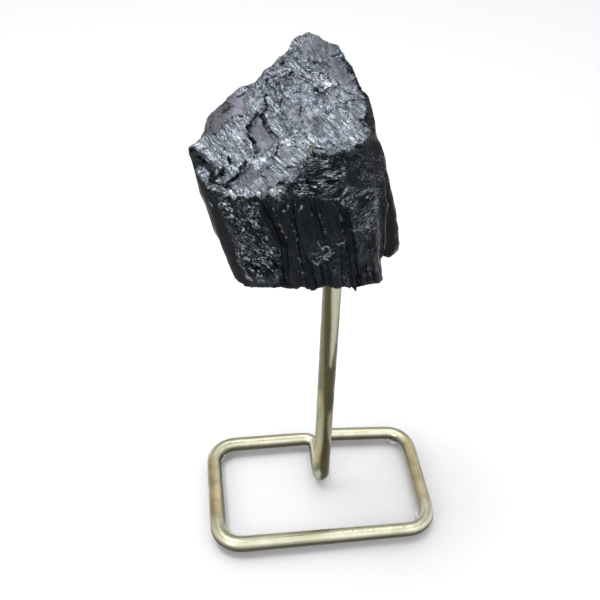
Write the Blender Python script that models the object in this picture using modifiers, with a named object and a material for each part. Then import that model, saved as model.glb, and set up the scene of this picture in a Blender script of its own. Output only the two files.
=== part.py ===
"""Raw black tourmaline (schorl) specimen on a bent brass wire stand.

The stone is one broken prism of schorl. Its flanks follow the crystal's long axis, which
leans to the left, and its top is one big slanting fracture that rises to a peak at the back.
The stand is a single bent wire: a rounded rectangle that lies on the table, a short run
forward to its middle, and an upright post whose end sits in a hole drilled in the stone.
Four clear silicone dots keep the wire off the table.

Metres, +Z up. X runs along the stand's long side, Y to the back.
The origin is on the table, under the middle of the whole object. The places below are
counted from the middle of the wire loop's long side, and one empty moves them all.
"""
import math

import bmesh
import bpy
from mathutils import Vector, geometry, noise

MM = 0.001

# ---------------------------------------------------------------- stand, driving dimensions
LOOP_WIDTH = 58.9 * MM          # centre to centre of the wire, along X
LOOP_FRONT = -18.1 * MM         # Y of the front stretch, at the wire's centre
LOOP_BACK = 17.6 * MM           # Y of the back stretch
LOOSE_END_BACK = 1.2 * MM       # the wire's loose end has sprung back this far
LOOP_CORNER = 6.2 * MM          # bend radius of the four corners, at the wire's centre
WIRE_RADIUS = 2.0 * MM
POST_RADIUS = 2.31 * MM
POST_X = 1.3 * MM
POST_Y = 2.7 * MM
POST_TOP = 97.0 * MM            # the post's end, inside the stone
POST_BEND = 2.6 * MM            # bend radius between the forward run and the post
RUN_BEND = 2.6 * MM             # tight bend between the back of the loop and the run
RUN_PINCH = 0.84                # that bend is squeezed to this share of the wire's radius
END_CLEARANCE = 0.4 * MM        # the loose end stops just beside the forward run
# The four corners in the wire's order from its loose end: side in X, side in Y, and the
# wire's radius there as a share of WIRE_RADIUS. Hand bending and plating leave it uneven.
LOOP_CORNERS = ((1, 1, 0.95), (1, -1, 0.97), (-1, -1, 1.1), (-1, 1, 1.02))
BEND_STEPS = 8
WIRE_SIDES_RESOLUTION = 4       # 12 sides

# ---------------------------------------------------------------- feet
FOOT_RADIUS = 2.6 * MM
FOOT_HEIGHT = 1.4 * MM
FOOT_FLAT = 1.8 * MM            # radius of the flat that touches the table
FOOT_STEPS = 4
FOOT_SIDES = 20
FOOT_PLACES = {
    "foot_front_left": (-25.2 * MM, -15.0 * MM),
    "foot_front_right": (29.2 * MM, -12.0 * MM),
    "foot_back_left": (-28.6 * MM, 16.0 * MM),
    "foot_back_right": (26.8 * MM, 17.9 * MM),
}
GAP = 0.3 * MM                  # air left between pieces that touch

# Middle of the whole object, which the stone and one foot push off the loop's own middle.
MIDDLE_X = 0.08 * MM
MIDDLE_Y = 0.73 * MM

WIRE_Z = FOOT_HEIGHT + GAP + WIRE_RADIUS

# ---------------------------------------------------------------- stone
STONE_LIFT = WIRE_Z - 2.0 * MM  # the ridge heights below are counted from 2 mm under the wire
AROUND = 120                    # points round the flanks
WALL_RINGS = 20                 # rings up the flanks
TOP_SPACING = 0.95 * MM         # distance between points on the fracture
BOTTOM_SPACING = 2.1 * MM
RIM_EXPONENT = 2.5              # how fast a rim point's pull on the fracture weakens inward
RELIEF_MARGIN = 1.5 * MM        # the relief dies out this close to the rim
FRACTURE_REACH = 9.0 * MM       # how far the rim's own rise and fall reaches inward
UNDERSIDE_REACH = 6.0 * MM
EDGE_MARGIN = 0.55              # share of the spacing kept free beside the rim
HOLE_SIDES = 32
DRILL_LENGTH = 40.0 * MM

# One entry for each long edge of the prism, from the left corner across the front, up the
# right flank, round the back and down the left flank. In millimetres: where the edge leaves
# the underside, where it reaches the rim of the fracture, and how far it bellies outward.
PRISM_EDGES = (
    ((-23.3, -6.0, 86.7), (-30.7, -2.8, 117.3), 0.3),
    ((-22.6, -9.0, 86.8), (-30.3, -6.8, 115.6), 0.4),
    ((-21.5, -11.5, 87.3), (-28.5, -10.6, 113.6), 0.5),
    ((-19.6, -13.0, 87.5), (-25.7, -12.5, 112.8), 0.7),
    ((-17.2, -14.5, 88.3), (-23.3, -14.5, 112.8), 0.5),
    ((-15.1, -15.5, 88.6), (-20.5, -16.0, 112.5), 0.4),
    ((-12.6, -16.0, 88.8), (-17.2, -16.5, 113.6), 0.2),
    ((-10.1, -16.3, 88.8), (-14.2, -17.0, 115.1), 0.2),
    ((-8.0, -16.3, 88.7), (-11.9, -17.0, 116.5), 0.2),
    ((-5.7, -16.0, 88.3), (-9.9, -16.0, 117.8), 0.6),
    ((-3.6, -16.0, 88.3), (-8.2, -14.5, 119.2), 1.0),
    ((-1.4, -15.8, 88.1), (-6.5, -13.5, 120.3), 1.2),
    ((0.9, -15.3, 87.9), (-3.8, -13.5, 120.2), 1.2),
    ((3.4, -14.6, 87.6), (-0.8, -13.0, 120.0), 1.1),
    ((6.1, -13.4, 86.8), (2.0, -12.0, 119.7), 1.0),
    ((8.6, -11.5, 86.1), (4.4, -10.0, 119.6), 0.9),
    ((10.3, -8.5, 85.6), (6.8, -6.5, 118.6), 1.0),
    ((10.7, -6.8, 87.2), (6.9, -4.8, 118.8), 0.8),
    ((13.2, -3.4, 86.2), (7.1, -2.5, 119.1), 1.2),
    ((15.9, 1.0, 84.9), (7.2, 1.5, 120.1), 1.3),
    ((16.5, 6.0, 85.5), (6.4, 5.5, 122.2), 1.0),
    ((16.0, 11.0, 85.5), (5.1, 9.0, 124.6), 0.8),
    ((14.0, 16.0, 86.0), (3.3, 11.5, 127.1), 0.8),
    ((10.0, 20.0, 86.5), (2.1, 13.0, 129.6), 0.6),
    ((4.0, 21.5, 87.0), (-1.8, 14.5, 131.7), 0.4),
    ((-3.0, 21.0, 87.0), (-4.8, 14.0, 133.1), 0.4),
    ((-9.0, 19.0, 86.5), (-7.9, 13.0, 132.6), 0.5),
    ((-13.5, 16.0, 86.0), (-9.4, 11.7, 129.0), 0.8),
    ((-16.5, 13.0, 86.0), (-13.1, 11.0, 126.8), 0.8),
    ((-19.0, 10.0, 86.0), (-17.2, 10.0, 124.5), 0.6),
    ((-21.0, 7.5, 86.0), (-20.8, 8.5, 122.9), 0.6),
    ((-22.5, 4.5, 86.0), (-23.8, 6.5, 121.1), 0.8),
    ((-23.3, 1.0, 86.0), (-26.7, 3.5, 119.2), 0.8),
    ((-23.5, -2.5, 86.0), (-27.8, 0.0, 117.9), 0.4),
)

# Lumps (+) and hollows (-) of the fracture: x, y, radius along, radius across, turn in
# degrees of the long way from +X, height. Millimetres.
FRACTURE_LUMPS = (
    (-21.0, -2.8, 5.0, 3.0, 60.0, 0.9),     # fibrous patch on the left
    (-22.0, 3.4, 4.5, 2.6, 20.0, 1.0),      # smooth swelling behind it
    (-16.2, -3.2, 4.6, 1.8, 80.0, -1.3),    # smooth hollow inside the crevice
    (-25.0, -9.3, 2.6, 1.9, 35.0, -1.9),    # pit by the left corner
    (-20.9, -12.6, 4.2, 1.7, 35.0, -1.1),   # floor under the ledge
    (-8.5, 5.6, 4.2, 2.6, 20.0, -1.1),      # dip in front of the peak
    (-11.0, -3.0, 4.0, 6.0, 0.0, 0.7),      # broad swelling in the middle
    (-3.6, 2.6, 1.4, 2.2, 0.0, -1.2),       # notch below the peak
    (-1.0, 6.2, 3.4, 1.9, -10.0, 1.0),      # bright lump below the peak
    (0.8, -5.0, 5.5, 4.0, -40.0, 0.9),      # fibrous patch on the right
    (5.8, -2.0, 1.5, 4.0, 10.0, -1.0),      # worn right rim
    (-13.0, 7.6, 4.2, 1.6, 20.0, 0.6),      # rough ridge along the back left rim
    (-3.0, 11.6, 4.6, 2.4, 0.0, 0.9),       # peak block
)

# Crevices of the fracture: points in plan, half width, depth. Millimetres.
FRACTURE_CREVICES = (
    (((-14.7, 2.1), (-17.4, -0.4), (-18.7, -3.5), (-18.0, -7.1)), 0.9, 1.3),
    (((-14.7, 2.1), (-14.3, -1.6), (-14.2, -5.1)), 0.8, 0.9),
    (((-19.7, -10.9), (-21.8, -12.0), (-23.2, -13.6)), 0.9, 1.2),
    (((-14.0, 6.5), (-10.5, 9.0)), 0.9, 0.8),
)

# Steps between the long columns of the flanks: place round the prism in edge numbers,
# outward step of the column that starts there, and how high up the flank it reaches (0..1).
COLUMNS = (
    (0.0, 0.05, 1.0), (4.4, 0.2, 1.0), (5.4, -0.3, 0.95), (6.3, 0.2, 1.0),
    (7.1, -0.7, 1.0), (8.0, 0.4, 1.0), (9.3, -0.3, 0.9), (10.2, 0.3, 0.85), (11.6, -0.5, 0.8),
    (12.4, 0.2, 0.8), (13.2, -0.3, 0.7), (14.3, 0.3, 0.8), (15.2, -0.3, 0.75),
    (16.2, 0.5, 1.0), (17.3, -0.7, 0.5), (18.1, 0.5, 1.0), (19.2, -0.4, 0.9),
    (20.0, 0.3, 1.0), (21.1, -0.6, 1.0), (21.9, 0.5, 0.8), (22.8, -0.3, 1.0),
    (23.6, 0.5, 0.9), (24.5, -0.5, 1.0), (25.3, 0.4, 1.0), (26.4, -0.6, 0.7),
    (27.3, 0.3, 1.0), (28.5, -0.4, 1.0), (29.4, 0.5, 0.8), (30.6, -0.3, 1.0),
    (31.7, 0.4, 1.0), (32.4, -0.2, 1.0),
)
COLUMN_FADE = 0.08              # a column ends over this share of the flank's height
ROUGH_FLANK = 0.14 * MM         # size of the fine roughness
ROUGH_FLANK_LUMPS = 0.45        # lumps per millimetre
ROUGH_FRACTURE = 0.3 * MM
ROUGH_FRACTURE_LUMP = 2.6 * MM  # width of one lump
ROUGH_UNDERSIDE = 0.4 * MM
ROUGH_UNDERSIDE_LUMP = 5.0 * MM
FACET_WIDTH = 4.6 * MM          # flat splinters of the fracture, across their fibres
FACET_STRETCH = 1.8             # how much longer they are along the fibres
FACET_TILT = 0.28               # largest slope of a splinter's face
FACET_STEP = 0.5 * MM           # largest step from one splinter to the next
FIBRE_TURN = math.radians(-52)  # the way the fibres run, in plan
FLANK_LENGTH = 34.0 * MM        # the flanks' mean length along the prism
CHIP_WIDTH = 5.0 * MM           # chips broken off the flanks, along the prism
CHIP_EDGES = 2.2                # their width round the prism, in edge numbers
CHIP_DEPTH = 0.30 * MM
SMOOTH_BAND_END = 5.4           # the flank left of this edge number is smoother than the rest
SMOOTH_BAND_SHARE = 0.3         # share of the chips and roughness that it keeps
# Where the repeatable noise is read, so that each use has a pattern of its own.
CHIP_SLICE = 5.1
CHIP_SEED = 5.77
FACET_SLICE = 0.37
FACET_SEED = 7.31
UNDERSIDE_SLICE = 1.8


# ---------------------------------------------------------------- helpers
def start_clean():
    for old in list(bpy.data.objects):
        bpy.data.objects.remove(old, do_unlink=True)


def make_collection(name):
    group = bpy.data.collections.new(name)
    bpy.context.scene.collection.children.link(group)
    return group


def make_material(name, colour, roughness, metallic=0.0, transmission=0.0, ior=1.5):
    material = bpy.data.materials.new(name)
    material.use_nodes = True
    shader = material.node_tree.nodes["Principled BSDF"]
    shader.inputs["Base Color"].default_value = (*colour, 1.0)
    shader.inputs["Roughness"].default_value = roughness
    shader.inputs["Metallic"].default_value = metallic
    shader.inputs["Transmission Weight"].default_value = transmission
    shader.inputs["IOR"].default_value = ior
    return material


def arc(centre, start, end, steps):
    """Points of a quarter bend, from start to end, round centre."""
    first = Vector(start) - Vector(centre)
    last = Vector(end) - Vector(centre)
    points = []
    for step in range(steps + 1):
        turn = math.radians(90) * step / steps
        points.append(Vector(centre) + first * math.cos(turn) + last * math.sin(turn))
    return points


# ---------------------------------------------------------------- stand
def lifted(spot, share):
    """The spot at the height that keeps the wire's underside level where it is thicker."""
    return (spot[0], spot[1], WIRE_Z + WIRE_RADIUS * (share - 1.0))


def wire_route():
    """Centre line of the wire, with its radius as a share of WIRE_RADIUS."""
    half_x = LOOP_WIDTH / 2
    corner = LOOP_CORNER
    z = WIRE_Z
    loose_end_x = POST_X + WIRE_RADIUS + END_CLEARANCE
    route = [Vector((loose_end_x, LOOP_BACK + LOOSE_END_BACK, z))]
    shares = [1.0]
    for side_x, side_y, share in LOOP_CORNERS:
        edge_y = LOOP_BACK if side_y > 0 else LOOP_FRONT
        centre = (side_x * (half_x - corner), edge_y - side_y * corner)
        on_side = (side_x * half_x, centre[1])
        on_end = (centre[0], edge_y)
        centre, on_side, on_end = (lifted(spot, share) for spot in (centre, on_side, on_end))
        clockwise = side_x == side_y
        start, end = (on_end, on_side) if clockwise else (on_side, on_end)
        route += arc(centre, start, end, BEND_STEPS)
        shares += [share] * (BEND_STEPS + 1)

    bend_start = (POST_X - RUN_BEND, LOOP_BACK, z)
    bend_end = (POST_X, LOOP_BACK - RUN_BEND, z)
    bend = arc((bend_start[0], bend_end[1], z), bend_start, bend_end, BEND_STEPS)
    route += bend
    for step in range(len(bend)):
        squeeze = math.sin(math.pi * step / (len(bend) - 1))
        shares.append(1.0 - (1.0 - RUN_PINCH) * squeeze)

    post_share = POST_RADIUS / WIRE_RADIUS
    foot_start = (POST_X, POST_Y + POST_BEND, z)
    foot_end = (POST_X, POST_Y, z + POST_BEND)
    foot = arc((POST_X, foot_start[1], foot_end[2]), foot_start, foot_end, BEND_STEPS)
    route += foot
    shares += [post_share] * len(foot)
    route.append(Vector((POST_X, POST_Y, POST_TOP)))
    shares.append(post_share)
    return route, shares


def build_wire(group):
    route, shares = wire_route()
    curve = bpy.data.curves.new("wire_stand", "CURVE")
    curve.dimensions = "3D"
    curve.bevel_depth = WIRE_RADIUS
    curve.bevel_resolution = WIRE_SIDES_RESOLUTION
    curve.use_fill_caps = True
    spline = curve.splines.new("POLY")
    spline.points.add(len(route) - 1)
    for point, place, share in zip(spline.points, route, shares):
        point.co = (*place, 1.0)
        point.radius = share
    wire = bpy.data.objects.new("wire_stand", curve)
    wire.data.materials.append(make_material("satin_brass", (0.50, 0.44, 0.27), 0.32, 1.0))
    group.objects.link(wire)


def build_foot(group, name, place, material):
    """A clear dot: flat on top, with a rounded lower edge."""
    mesh = bpy.data.meshes.new(name)
    shape = bmesh.new()
    drop = FOOT_HEIGHT
    round_edge = FOOT_RADIUS - FOOT_FLAT
    profile = [(0.0, FOOT_HEIGHT), (FOOT_RADIUS, FOOT_HEIGHT)]
    for step in range(1, FOOT_STEPS + 1):
        turn = math.radians(90) * step / FOOT_STEPS
        profile.append((FOOT_FLAT + round_edge * math.cos(turn), drop * (1 - math.sin(turn))))
    profile.append((0.0, 0.0))
    corners = [shape.verts.new((radius, 0.0, height)) for radius, height in profile]
    for first, second in zip(corners, corners[1:]):
        shape.edges.new((first, second))
    shape.to_mesh(mesh)
    shape.free()
    foot = bpy.data.objects.new(name, mesh)
    foot.location = (*place, 0.0)
    turned = foot.modifiers.new("turned", "SCREW")
    turned.steps = FOOT_SIDES
    turned.render_steps = FOOT_SIDES
    turned.use_merge_vertices = True
    turned.merge_threshold = 0.00001
    foot.data.materials.append(material)
    group.objects.link(foot)


# ---------------------------------------------------------------- stone
def prism_at(place):
    """Underside point, rim point and belly of the flank at a place in edge numbers."""
    count = len(PRISM_EDGES)
    low = int(math.floor(place)) % count
    share = place - math.floor(place)
    first = PRISM_EDGES[low]
    second = PRISM_EDGES[(low + 1) % count]
    foot = Vector(first[0]).lerp(Vector(second[0]), share) * MM
    rim = Vector(first[1]).lerp(Vector(second[1]), share) * MM
    belly = (first[2] * (1 - share) + second[2] * share) * MM
    return foot, rim, belly


def even_places():
    """Places round the prism, spaced evenly along the middle of the flanks."""
    fine = 40 * len(PRISM_EDGES)
    run = [0.0]
    previous = None
    for step in range(fine + 1):
        foot, rim, _ = prism_at(step * len(PRISM_EDGES) / fine)
        middle = (foot + rim) / 2
        if previous is not None:
            run.append(run[-1] + (middle - previous).length)
        previous = middle
    places = []
    step = 0
    for index in range(AROUND):
        wanted = run[-1] * index / AROUND
        while run[step + 1] < wanted:
            step += 1
        share = (wanted - run[step]) / (run[step + 1] - run[step])
        places.append((step + share) * len(PRISM_EDGES) / fine)
    return places


def column_step(place, height):
    """Outward offset of the column at this place, in metres, at a height from 0 to 1."""
    current = COLUMNS[-1]
    for column in COLUMNS:
        if column[0] <= place:
            current = column
    fade = min(1.0, max(0.0, (current[2] - height) / COLUMN_FADE + 1.0))
    return current[1] * MM * fade


def ragged(point, size, scale):
    """Smooth seeded noise vector: size in metres, scale in lumps per millimetre."""
    spot = point * scale / MM
    return noise.turbulence_vector(spot, 3, False) * size


def flank_point(place, height, outward):
    foot, rim, belly = prism_at(place)
    point = foot.lerp(rim, height)
    swell = belly * 4 * height * (1 - height)
    spot = Vector((place / CHIP_EDGES, height * FLANK_LENGTH / CHIP_WIDTH, CHIP_SLICE))
    _, centres = noise.voronoi(spot)
    chip = noise.cell(centres[0] * CHIP_SEED) - 0.5
    kept = SMOOTH_BAND_SHARE if place < SMOOTH_BAND_END else 1.0
    point = point + outward * (swell + column_step(place, height) + chip * CHIP_DEPTH * kept)
    return point + ragged(point, ROUGH_FLANK * kept, ROUGH_FLANK_LUMPS)


def build_flanks(shape, places):
    """Rings of points from the underside's edge up to the rim."""
    outward = []
    for index, place in enumerate(places):
        before = sum(prism_at(places[index - 1])[:2], Vector())
        after = sum(prism_at(places[(index + 1) % AROUND])[:2], Vector())
        along = after - before
        outward.append(Vector((along.y, -along.x, 0.0)).normalized())
    rings = []
    for ring in range(WALL_RINGS + 1):
        height = ring / WALL_RINGS
        points = [flank_point(place, height, out) for place, out in zip(places, outward)]
        rings.append([shape.verts.new(point) for point in points])
    for lower, upper in zip(rings, rings[1:]):
        for index in range(AROUND):
            after = (index + 1) % AROUND
            shape.faces.new((lower[index], lower[after], upper[after], upper[index]))
    return rings[0], rings[-1]


def fitted_plane(points):
    """Least-squares plane z = a x + b y + c through the points."""
    middle = sum(points, Vector()) / len(points)
    sxx = sum((p.x - middle.x) ** 2 for p in points)
    syy = sum((p.y - middle.y) ** 2 for p in points)
    sxy = sum((p.x - middle.x) * (p.y - middle.y) for p in points)
    sxz = sum((p.x - middle.x) * (p.z - middle.z) for p in points)
    syz = sum((p.y - middle.y) * (p.z - middle.z) for p in points)
    spread = sxx * syy - sxy * sxy
    slope_x = (sxz * syy - syz * sxy) / spread
    slope_y = (syz * sxx - sxz * sxy) / spread
    return slope_x, slope_y, middle.z - slope_x * middle.x - slope_y * middle.y


def distance_to_path(x, y, path):
    spot = Vector((x, y))
    nearest = 1e9
    for start, end in zip(path, path[1:]):
        start = Vector(start) * MM
        end = Vector(end) * MM
        along = end - start
        share = max(0.0, min(1.0, (spot - start).dot(along) / along.length_squared))
        nearest = min(nearest, (spot - start - along * share).length)
    return nearest


def fracture_relief(x, y):
    height = 0.0
    for place_x, place_y, long_way, short_way, turn, lump in FRACTURE_LUMPS:
        offset_x = x / MM - place_x
        offset_y = y / MM - place_y
        cosine = math.cos(math.radians(turn))
        sine = math.sin(math.radians(turn))
        along = (offset_x * cosine + offset_y * sine) / long_way
        across = (offset_y * cosine - offset_x * sine) / short_way
        height += lump * MM * math.exp(-((along * along + across * across) ** 1.5))
    for path, half_width, depth in FRACTURE_CREVICES:
        reach = distance_to_path(x, y, path) / (half_width * MM)
        height -= depth * MM * math.exp(-reach * reach)
    across = -x * math.sin(FIBRE_TURN) + y * math.cos(FIBRE_TURN)
    along = x * math.cos(FIBRE_TURN) + y * math.sin(FIBRE_TURN)
    spot = Vector((across / FACET_WIDTH, along / FACET_WIDTH / FACET_STRETCH, FACET_SLICE))
    height += splinter(spot) * FACET_WIDTH
    height += ROUGH_FRACTURE * noise.noise(Vector((x, y, 0.0)) / ROUGH_FRACTURE_LUMP)
    return height


def splinter(spot):
    """Height of a flat tilted cell, in cell widths: every cell has its own tilt and level."""
    _, centres = noise.voronoi(spot)
    cell = centres[0]
    character = noise.cell_vector(cell * FACET_SEED)
    tilt = (character - Vector((0.5, 0.5, 0.5))) * 2 * FACET_TILT
    level = (character.z - 0.5) * FACET_STEP / FACET_WIDTH
    return level + (spot - cell).dot(Vector((tilt.x, tilt.y * FACET_STRETCH, 0.0)))


def underside_relief(x, y):
    spot = Vector((x, y, 0.0)) / ROUGH_UNDERSIDE_LUMP + Vector((0.0, 0.0, UNDERSIDE_SLICE))
    return ROUGH_UNDERSIDE * noise.noise(spot)


def lattice_inside(outline, spacing):
    """Staggered points inside the outline, none of them close to its edge."""
    low_x = min(p.x for p in outline)
    high_x = max(p.x for p in outline)
    low_y = min(p.y for p in outline)
    high_y = max(p.y for p in outline)
    row_height = spacing * math.sqrt(3) / 2
    inside = []
    rows = int((high_y - low_y) / row_height) + 1
    columns = int((high_x - low_x) / spacing) + 2
    for row in range(1, rows):
        for column in range(columns):
            x = low_x + (column + 0.5 * (row % 2)) * spacing
            y = low_y + row * row_height
            clear = edge_distance(x, y, outline) > spacing * EDGE_MARGIN
            if clear and inside_outline(x, y, outline):
                inside.append(Vector((x, y)))
    return inside


def inside_outline(x, y, outline):
    inside = False
    for first, second in zip(outline, outline[1:] + outline[:1]):
        if (first.y > y) != (second.y > y):
            cross = first.x + (y - first.y) / (second.y - first.y) * (second.x - first.x)
            if x < cross:
                inside = not inside
    return inside


def edge_distance(x, y, outline):
    return min(math.hypot(p.x - x, p.y - y) for p in outline)


def build_cap(shape, ring, spacing, relief, falloff):
    """Cover the ring: a plane, the rim's rise and fall dying out inward, and the relief."""
    rim = [vertex.co.copy() for vertex in ring]
    slope_x, slope_y, level = fitted_plane(rim)
    flat = [p.to_2d() for p in rim]
    inner = lattice_inside(flat, spacing)
    loop = list(range(len(flat)))
    result = geometry.delaunay_2d_cdt(flat + inner, [], [loop], 1, 1e-7)
    places, faces = result[0], result[2]
    lifted = []
    for index, place in enumerate(places):
        if index < len(rim):
            lifted.append(ring[index])
            continue
        weights = [1.0 / (place - edge).length ** RIM_EXPONENT for edge in flat]
        rises = [p.z - slope_x * p.x - slope_y * p.y - level for p in rim]
        rise = sum(w * r for w, r in zip(weights, rises)) / sum(weights)
        near = min((place - edge).length for edge in flat)
        settle = 1.0 - math.exp(-near / RELIEF_MARGIN)
        keep = math.exp(-near / falloff)
        z = slope_x * place.x + slope_y * place.y + level
        z += rise * keep + relief(place.x, place.y) * settle
        lifted.append(shape.verts.new((place.x, place.y, z)))
    for corners in faces:
        shape.faces.new([lifted[corner] for corner in corners])


def build_stone(group, cutters):
    shape = bmesh.new()
    underside, rim = build_flanks(shape, even_places())
    build_cap(shape, rim, TOP_SPACING, fracture_relief, FRACTURE_REACH)
    build_cap(shape, underside, BOTTOM_SPACING, underside_relief, UNDERSIDE_REACH)
    bmesh.ops.translate(shape, verts=shape.verts, vec=(0.0, 0.0, STONE_LIFT))
    bmesh.ops.recalc_face_normals(shape, faces=shape.faces)
    bmesh.ops.triangulate(shape, faces=shape.faces)
    mesh = bpy.data.meshes.new("tourmaline")
    shape.to_mesh(mesh)
    shape.free()
    stone = bpy.data.objects.new("tourmaline", mesh)
    stone.data.materials.append(make_material("black_tourmaline", (0.022, 0.022, 0.026), 0.34))
    group.objects.link(stone)

    drill = bmesh.new()
    bmesh.ops.create_cone(drill, cap_ends=True, segments=HOLE_SIDES, depth=DRILL_LENGTH,
                          radius1=POST_RADIUS + GAP, radius2=POST_RADIUS + GAP)
    drill_mesh = bpy.data.meshes.new("post_drill")
    drill.to_mesh(drill_mesh)
    drill.free()
    cutter = bpy.data.objects.new("post_drill", drill_mesh)
    cutter.location = (POST_X, POST_Y, POST_TOP + GAP - DRILL_LENGTH / 2)
    cutter.hide_render = True
    cutter.display_type = "WIRE"
    cutters.objects.link(cutter)
    hole = stone.modifiers.new("post_hole", "BOOLEAN")
    hole.operation = "DIFFERENCE"
    hole.object = cutter
    hole.solver = "EXACT"


def main():
    start_clean()
    group = make_collection("raw_black_tourmaline")
    cutters = make_collection("cutters")
    build_stone(group, cutters)
    build_wire(group)
    clear = make_material("clear_silicone", (0.9, 0.92, 0.92), 0.25, 0.0, 0.9, 1.41)
    for name, place in FOOT_PLACES.items():
        build_foot(group, name, place, clear)
    centre = bpy.data.objects.new("raw_black_tourmaline_centre", None)
    centre.location = (-MIDDLE_X, -MIDDLE_Y, 0.0)
    group.objects.link(centre)
    for piece in (*group.objects, *cutters.objects):
        if piece != centre:
            piece.parent = centre


main()
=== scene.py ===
import itertools
import math

import bmesh
import bpy
import numpy as np
from mathutils import Matrix, Vector


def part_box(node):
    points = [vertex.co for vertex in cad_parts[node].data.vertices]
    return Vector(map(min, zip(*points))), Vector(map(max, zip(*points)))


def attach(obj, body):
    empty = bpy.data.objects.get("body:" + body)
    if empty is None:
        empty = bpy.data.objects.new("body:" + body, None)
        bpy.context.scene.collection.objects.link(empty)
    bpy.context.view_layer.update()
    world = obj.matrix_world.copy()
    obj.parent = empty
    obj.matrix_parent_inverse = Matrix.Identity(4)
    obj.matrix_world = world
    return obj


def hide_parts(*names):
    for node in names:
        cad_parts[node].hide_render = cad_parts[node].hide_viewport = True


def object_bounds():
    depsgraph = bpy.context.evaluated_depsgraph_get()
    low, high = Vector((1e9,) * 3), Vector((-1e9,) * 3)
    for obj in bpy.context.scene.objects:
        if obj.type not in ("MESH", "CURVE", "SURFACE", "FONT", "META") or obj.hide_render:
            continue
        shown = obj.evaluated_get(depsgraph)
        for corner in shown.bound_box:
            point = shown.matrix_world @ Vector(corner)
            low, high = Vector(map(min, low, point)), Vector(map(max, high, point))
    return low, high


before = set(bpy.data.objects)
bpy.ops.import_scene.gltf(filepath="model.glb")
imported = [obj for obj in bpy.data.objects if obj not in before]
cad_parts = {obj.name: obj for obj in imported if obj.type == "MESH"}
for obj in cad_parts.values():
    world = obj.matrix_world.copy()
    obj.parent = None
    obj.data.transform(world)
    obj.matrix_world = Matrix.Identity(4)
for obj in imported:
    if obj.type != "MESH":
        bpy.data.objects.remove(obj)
cad_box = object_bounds()

MM = 0.001

# ---------------------------------------------------------------- camera
# Solved from the wire loop's outline: the loop is level, and its sides are parallel to X and Y.
IMAGE_SIZE = 600.0                      # pixels, both ways
CAMERA_PLACE = np.array([-29.92, -160.60, 208.60])   # millimetres
CAMERA_YAW = math.radians(8.19)         # to the right of +Y
CAMERA_PITCH = math.radians(39.8)       # downward
CAMERA_ROLL = math.radians(1.72)
CAMERA_FOCAL = 880.0                    # pixels
SENSOR = 36.0                           # millimetres
CLIP_RANGE = (0.01, 10.0)               # metres

# ---------------------------------------------------------------- stone, millimetres and pixels
FINE_VOXEL, QUICK_VOXEL = 0.19, 0.4
RELAX_ROUNDS, QUICK_RELAX_ROUNDS = 12, 5
OUTLINE_ROUNDS = 4                      # of smoothing, where thorns could stand out
MERGE_WITHIN = 0.001
BOX_MARGIN = 0.002                      # how far the stone stays inside the CAD box
FACE_BUDGET = 192000
SPARE_STEPS = 10                        # grades of how much the thinning may take away
STONE_SHARP = 42                        # degrees
PRISM_AXIS = Vector((-0.235, -0.10, 0.965)).normalized()   # the crystal's long axis
PRISM_MIDDLE = np.array([-6.5, 1.0, 104.0])
PRISM_REACH = 19.0                      # from its axis to its flanks
COLUMN_STRETCH = 9.0                    # how much longer its lines are than wide
PIXEL = 0.232                           # millimetres on the stone for one pixel
POST_PLACE = (1.22, 1.97)               # the drilled hole, in plan


# ---------------------------------------------------------------- numbers that vary over space
def hashed(ix, iy, iz, seed):
    """A repeatable number from 0 to 1 for each cell of a lattice."""
    h = ix * 374761393 + iy * 668265263 + iz * 1442695041 + seed * 974634777
    h = (h ^ (h >> 13)) * 1274126177
    h = (h ^ (h >> 16)) & 0xFFFFFF
    return h / float(0x1000000)


def soft_noise(points, seed):
    """Smooth noise from -1 to 1 at an (n, 3) array of places, one lump per unit."""
    low = np.floor(points).astype(np.int64)
    share = points - low
    share = share ** 3 * (share * (share * 6 - 15) + 10)
    total = np.zeros(len(points))
    for corner in itertools.product((0, 1), repeat=3):
        weight = np.ones(len(points))
        for axis in range(3):
            weight *= share[:, axis] if corner[axis] else 1 - share[:, axis]
        spot = low + corner
        total += weight * hashed(spot[:, 0], spot[:, 1], spot[:, 2], seed)
    return total * 2 - 1


def layered_noise(points, seed, layers=3):
    total = np.zeros(len(points))
    size = 1.0
    for layer in range(layers):
        total += soft_noise(points * 2.03 ** layer, seed + layer) * size
        size *= 0.5
    return total


def flat_cells(u, v, seed):
    """Scattered cells over a plane: offset from the nearest centre, how near the border with
    the next cell is (0 at the border), and three random numbers for each cell."""
    base_u = np.floor(u).astype(np.int64)
    base_v = np.floor(v).astype(np.int64)
    zero = np.zeros_like(base_u)
    near = np.full(len(u), 9.0)
    next_near = np.full(len(u), 9.0)
    offset_u = np.zeros(len(u))
    offset_v = np.zeros(len(u))
    cell_u = base_u.copy()
    cell_v = base_v.copy()
    for du, dv in itertools.product((-1, 0, 1), repeat=2):
        iu = base_u + du
        iv = base_v + dv
        centre_u = iu + 0.15 + 0.7 * hashed(iu, iv, zero, seed)
        centre_v = iv + 0.15 + 0.7 * hashed(iu, iv, zero, seed + 1)
        gap_u = u - centre_u
        gap_v = v - centre_v
        away = np.hypot(gap_u, gap_v)
        closer = away < near
        next_near = np.where(closer, near, np.minimum(next_near, away))
        near = np.where(closer, away, near)
        offset_u = np.where(closer, gap_u, offset_u)
        offset_v = np.where(closer, gap_v, offset_v)
        cell_u = np.where(closer, iu, cell_u)
        cell_v = np.where(closer, iv, cell_v)
    chance = [hashed(cell_u, cell_v, zero, seed + 2 + k) for k in range(3)]
    return offset_u, offset_v, next_near - near, chance


def rise(value, low, high):
    share = np.clip((value - low) / (high - low), 0, 1)
    return share * share * (3 - 2 * share)


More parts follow.
